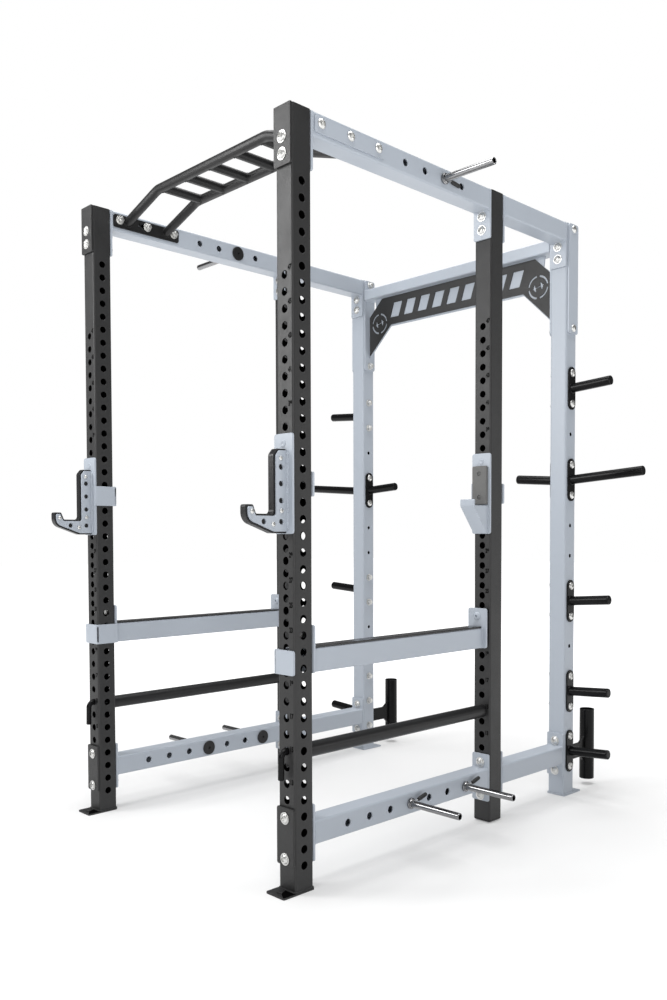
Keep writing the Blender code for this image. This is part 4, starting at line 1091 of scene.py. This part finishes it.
def jcup_middle():
    s, w, body = 1, "right", "jcup_middle_right"
    cx = CX
    y0, yb = MID - GAP, MID - GAP - FLANGE_T
    back = plate(rect((cx - 0.0420, cx + 0.0420), (1.1060, 1.4100), 0.009), "y", yb, y0, 0.0014, 3)
    strap = block((INNER - GAP - FLANGE_T, INNER - GAP), (yb + 0.0005, MID + TUBE + GAP + FLANGE_T), (1.2210, 1.2975), 0.0012)
    lip = plate(rect((INNER - GAP - FLANGE_T, HALF + 0.0030), (1.2210, 1.2975), 0.006), "y", MID + TUBE + GAP, MID + TUBE + GAP + FLANGE_T, 0.0012)
    pin = turned([(PIN_D / 2, -0.004), (PIN_D / 2, 0.0425), (PIN_D / 2 - 0.0008, 0.0440), (PIN_D / 2 - 0.0025, 0.0450), (0.0, 0.0450)],
                 (cx, MID, JCUP_PIN_Z), (0, 1, 0), 32)
    plug = turned([(0.0112, 0.0), (0.0106, 0.0011), (0.0090, 0.0018), (0.0070, 0.0019), (0.0052, 0.0011), (0.0, 0.0009)], (cx, yb, JCUP_PIN_Z), (0, -1, 0), 28)
    t = 0.0080
    front = MID - 0.0950
    hook = plate(fillet([(yb + 0.003, 1.1080), (yb - 0.0050, 1.1080), (front, 1.2100), (front, 1.2350), (front + t, 1.2350),
                         (front + t, 1.2130), (yb - 0.0010, 1.1190), (yb + 0.003, 1.1190)],
                        [0, 0.004, 0.018, 0.003, 0.003, 0.010, 0, 0], 6), "x", cx - 1.25 * IN, cx + 1.25 * IN, 0.0012)
    gussets = [plate([(yb + 0.003, 1.1090), (yb - 0.0030, 1.1090), (front + 0.003, 1.2090), (front + 0.003, 1.2120), (yb + 0.003, 1.2120)],
                     "x", cx + e * (1.25 * IN - 0.0036) - 0.003, cx + e * (1.25 * IN - 0.0036) + 0.003, 0.0006) for e in (1, -1)]
    beads = [bead([(cx + e * (1.25 * IN + 0.0006), yb - 0.0006, 1.1120), (cx + e * (1.25 * IN + 0.0006), yb - 0.0006, 1.2110)], 0.0026, seed=e) for e in (1, -1)]
    piece("v_jcup_middle_right", [(m, GREY) for m in [back, strap, lip, pin, plug, hook] + gussets + beads], body,
          ("jcup_middle_right",))
    pad = plate(rect((cx - 1.28 * IN, cx + 1.28 * IN), (1.2160, 1.3620), 0.007), "y", yb - GAP - 0.0130, yb - GAP, 0.0022, 4)
    recess = [turned([(0.0088, -0.0040), (0.0088, 0.004)], (cx, yb - GAP - 0.0130, z), (0, -1, 0), 28) for z in (1.2440, 1.3330)]
    pad = combine(pad, cut=[joined(recess)])
    piece("v_jcup_pad_middle_right", [(pad, PAD)], body, ("jcup_pad_middle_right",))
    screws = [socket_screw((cx, yb - GAP - 0.0090, z), (0, -1, 0), 0.0140, 0.0036) for z in (1.2440, 1.3330)]
    piece("screws_jcup_middle_right", [(joined(screws), PAD)], body)


for s, w in SIDES:
    jcup_front(s, w)
jcup_middle()


# ------------------------------------------------------------------ flip-down safeties
def safety(s, w):
    body = "safety_" + w
    cx = s * CX
    za, zb, top = 0.6750, 0.7512, 0.8250
    ya, yb = FRONT + TUBE + GAP, FRONT + TUBE + GAP + FLANGE_T
    end = FRONT + 0.9680
    beam = square_tube("y", (cx, (za + zb) / 2), yb - 0.002, end - FLANGE_T + 0.002, half=(IN, (zb - za) / 2), r=0.0055, wall=0.004)
    near = plate(rect((cx - 0.0420, cx + 0.0420), (za, top), 0.008), "y", ya, yb, 0.0012)
    far = plate(rect((cx - 0.0420, cx + 0.0420), (za, top), 0.008), "y", end - FLANGE_T, end, 0.0012)
    ix = INNER - GAP - FLANGE_T
    xx = (ix, INNER - GAP) if s > 0 else (-INNER + GAP, -ix)
    strap = block(xx, (FRONT - GAP - FLANGE_T, yb - 0.0005), (za, zb), 0.0012)
    lx = (ix, cx + 0.0420) if s > 0 else (cx - 0.0420, -ix)
    lip = plate(rect(lx, (za, zb), 0.008), "y", FRONT - GAP - FLANGE_T, FRONT - GAP, 0.0012)
    r = PIN_D / 2
    pin_a = turned([(r - 0.002, -0.0200), (r - 0.0006, -0.0194), (r, -0.0180), (r, 0.006)], (cx, FRONT + TUBE, SAFETY_PIN_Z), (0, 1, 0), 32)
    base = end - FLANGE_T + 0.003
    span = MID + 0.030 - base
    pin_b = turned([(r, 0.0), (r, span - 0.002), (r - 0.0006, span - 0.0006), (r - 0.002, span), (0.0, span)], (cx, base, SAFETY_PIN_Z), (0, 1, 0), 32)
    head = button_bolt((cx, end - FLANGE_T, SAFETY_PIN_Z), (0, -1, 0), 0.0300, 0.0070, 0.0090)
    plug = turned([(0.0112, 0.0), (0.0106, 0.0011), (0.0090, 0.0018), (0.0070, 0.0019), (0.0052, 0.0011), (0.0, 0.0009)], (cx, yb, SAFETY_PIN_Z), (0, 1, 0), 28)
    beads = []
    for y in (yb + 0.0006, end - FLANGE_T - 0.0006):
        loop = [(cx + u, y, (za + zb) / 2 + v) for u, v in rounded_rect(IN - 0.0002, (zb - za) / 2 - 0.0008, 0.0055, 4)]
        beads.append(bead(loop, 0.0022, closed=True, seed=y))
    parts = [(m, GREY) for m in [beam, near, far, strap, lip, plug] + beads] + [(m, ZINC) for m in (pin_a, pin_b)]
    piece("v_safety_" + w, parts, body, ("safety_" + w,))
    piece("screws_safety_" + w, [(head, GREY)], body)
    strip = plate(fillet([(cx - IN, zb + GAP), (cx + IN, zb + GAP), (cx + IN, zb + GAP + 0.0060), (cx - IN, zb + GAP + 0.0060)],
                         [0.0004, 0.0004, 0.0022, 0.0022], 4), "y", yb + 0.002, end - FLANGE_T - 0.006, 0.0010)
    recess = []
    heads = []
    for k in range(5):
        y = yb + 0.060 + k * (end - yb - 0.135) / 4
        recess.append(turned([(0.0055, -0.0030), (0.0055, 0.004)], (cx, y, zb + GAP + 0.0060), (0, 0, 1), 24))
        heads.append(button_bolt((cx, y, zb + GAP + 0.0032), (0, 0, 1), 0.0092, 0.0022, 0.0034))
    strip = combine(strip, cut=[joined(recess)])
    piece("v_safety_strip_" + w, [(strip, STRIP)], body, ("safety_strip_" + w,))
    piece("screws_strip_" + w, [(joined(heads), ZINC)], body)


for s, w in SIDES:
    safety(s, w)

# ------------------------------------------------------------------ pin-and-pipe safeties
for s, w in SIDES:
    cx = s * CX
    y_bend = FRONT - 0.0218
    tail = Vector((cx, y_bend - 0.001, ROD_Z - 0.0870))
    pts = [Vector((cx, MID + TUBE + 0.0200, ROD_Z)), Vector((cx, MID, ROD_Z))]
    pts += bend((cx, MID, ROD_Z), (cx, y_bend, ROD_Z), tail, 0.020, 16) + [tail]
    r = ROD_D / 2
    first, last = pts[0], pts[-1]
    along = (pts[-1] - pts[-2]).normalized()
    pts = [first, first + Vector((0, -0.0012, 0)), first + Vector((0, -0.003, 0))] + pts[1:-1] + [last - along * 0.003, last - along * 0.0012, last]
    slim = 0.0098
    radii = [r - 0.0022, r - 0.0006, r]
    for q in pts[3:-3]:
        t = min(max((FRONT - 0.002 - q.y) / 0.016, 0.0), 1.0)
        radii.append(r + (slim - r) * t)
    radii += [slim, slim - 0.0006, slim - 0.0022]
    piece("v_safety_rod_" + w, [(sweep(pts, r, 32, radii=radii), SATIN)], "rod_" + w, ("safety_rod_" + w,))
    ya, yb = FRONT + TUBE + 0.0040, MID - 0.0040
    ro, ri = PIPE_OD / 2, PIPE_ID / 2
    L = yb - ya
    pipe = turned([(ri, 0.0008), (ri + 0.0005, 0.0), (ro - 0.0007, 0.0), (ro, 0.0007), (ro, L - 0.0007), (ro - 0.0007, L), (ri + 0.0005, L), (ri, L - 0.0008)],
                  (cx, ya, PIPE_Z), (0, 1, 0), 48, close=False)
    bm = bmesh.new(); bm.from_mesh(pipe)
    inner = turned([(ri, 0.0008), (ri, L - 0.0008)], (cx, ya, PIPE_Z), (0, 1, 0), 48, close=False)
    bm.from_mesh(inner)
    pipe = done(bm, merge=1e-5)
    piece("v_safety_pipe_" + w, [(pipe, PIPE_COAT)], "pipe_" + w, ("safety_pipe_" + w,))

# ------------------------------------------------------------------ floor, light, camera


def floor_material():
    """Pale studio sweep: a faint tone, brighter with the distance from the object, as a lit cove is."""
    n = Nodes("studio_floor")
    tone = n.mix(n.ramp(n.noise(1.2, 3.0, 0.5), 0.3, 0.7, 0.0, 1.0), (0.52, 0.52, 0.52), (0.51, 0.51, 0.51))
    ball = n.node("ShaderNodeTexGradient")
    ball.gradient_type = "SPHERICAL"
    scale = n.node("ShaderNodeMapping")
    scale.inputs["Scale"].default_value = (1 / 7.0, 1 / 7.0, 1 / 7.0)
    n.link(n.coord, scale.inputs["Vector"])
    n.link(scale.outputs["Vector"], ball.inputs["Vector"])
    glow = n.ramp(ball.outputs["Fac"], 0.35, 0.85, 1.0, FLOOR_GLOW)
    return n.set(Base_Color=tone, Roughness=0.7, Emission_Color=(1.0, 1.0, 1.0, 1.0), Emission_Strength=glow, Specular_IOR_Level=0.1)


FLOOR_GLOW = 0.28
bm = bmesh.new()
bmesh.ops.create_grid(bm, x_segments=4, y_segments=4, size=30.0)
floor = link("floor", done(bm, merge=0))
floor.data.materials.append(floor_material())


def area(name, at, aim, size, power, colour=(1, 1, 1)):
    light = bpy.data.lights.new(name, "AREA")
    light.shape = "RECTANGLE"
    light.size, light.size_y = size
    light.energy = power
    light.color = colour
    o = bpy.data.objects.new(name, light)
    o.location = at
    o.rotation_euler = (Vector(aim) - Vector(at)).to_track_quat("-Z", "Y").to_euler()
    bpy.context.scene.collection.objects.link(o)
    return o


# a white background for the eye, and a dimmer room for the light that falls on the object
world = bpy.data.worlds.new("studio")
bpy.context.scene.world = world
world.use_nodes = True
tree = world.node_tree
background = tree.nodes["Background"]
path = tree.nodes.new("ShaderNodeLightPath")
room = tree.nodes.new("ShaderNodeMapRange")
room.inputs["To Min"].default_value = 0.20
room.inputs["To Max"].default_value = 1.0
tree.links.new(path.outputs["Is Camera Ray"], room.inputs["Value"])
tree.links.new(room.outputs["Result"], background.inputs["Strength"])
background.inputs["Color"].default_value = (1.0, 1.0, 1.0, 1.0)

area("key", (-1.35, -2.6, 2.75), (0.45, -0.75, 2.0), (0.9, 2.2), 58)
area("fill", (3.5, -3.3, 2.1), (0.0, 0.2, 1.1), (2.4, 2.4), 52)
area("rim", (4.9, 3.6, 2.2), (0.62, -0.95, 1.85), (1.2, 1.2), 26)
area("overhead", (0.0, -0.2, 8.5), (0.0, -0.19, 0.0), (7.0, 7.0), 940)

camera = bpy.data.cameras.new("camera")
eye = bpy.data.objects.new("camera", camera)
bpy.context.scene.collection.objects.link(eye)
yaw, pitch, roll = math.radians(45.921), math.radians(-2.005), math.radians(-0.156)
forward = Vector((-math.sin(yaw) * math.cos(pitch), math.cos(yaw) * math.cos(pitch), math.sin(pitch)))
right = forward.cross(Vector((0, 0, 1))).normalized()
up = right.cross(forward)
r2 = right * math.cos(roll) + up * math.sin(roll)
u2 = r2.cross(forward)
eye.matrix_world = Matrix.Translation((2.67447, -1.82134 + FRONT, 1.09934)) @ Matrix((
    (r2.x, u2.x, -forward.x, 0), (r2.y, u2.y, -forward.y, 0), (r2.z, u2.z, -forward.z, 0), (0, 0, 0, 1)))
camera.sensor_fit = "AUTO"
camera.sensor_width = 36.0
camera.lens = 36.0 * 0.90872
camera.shift_x = 0.0
camera.shift_y = 0.06784
camera.clip_start, camera.clip_end = 0.05, 100.0
bpy.context.scene.camera = eye
bpy.context.scene.view_settings.view_transform = "Standard"
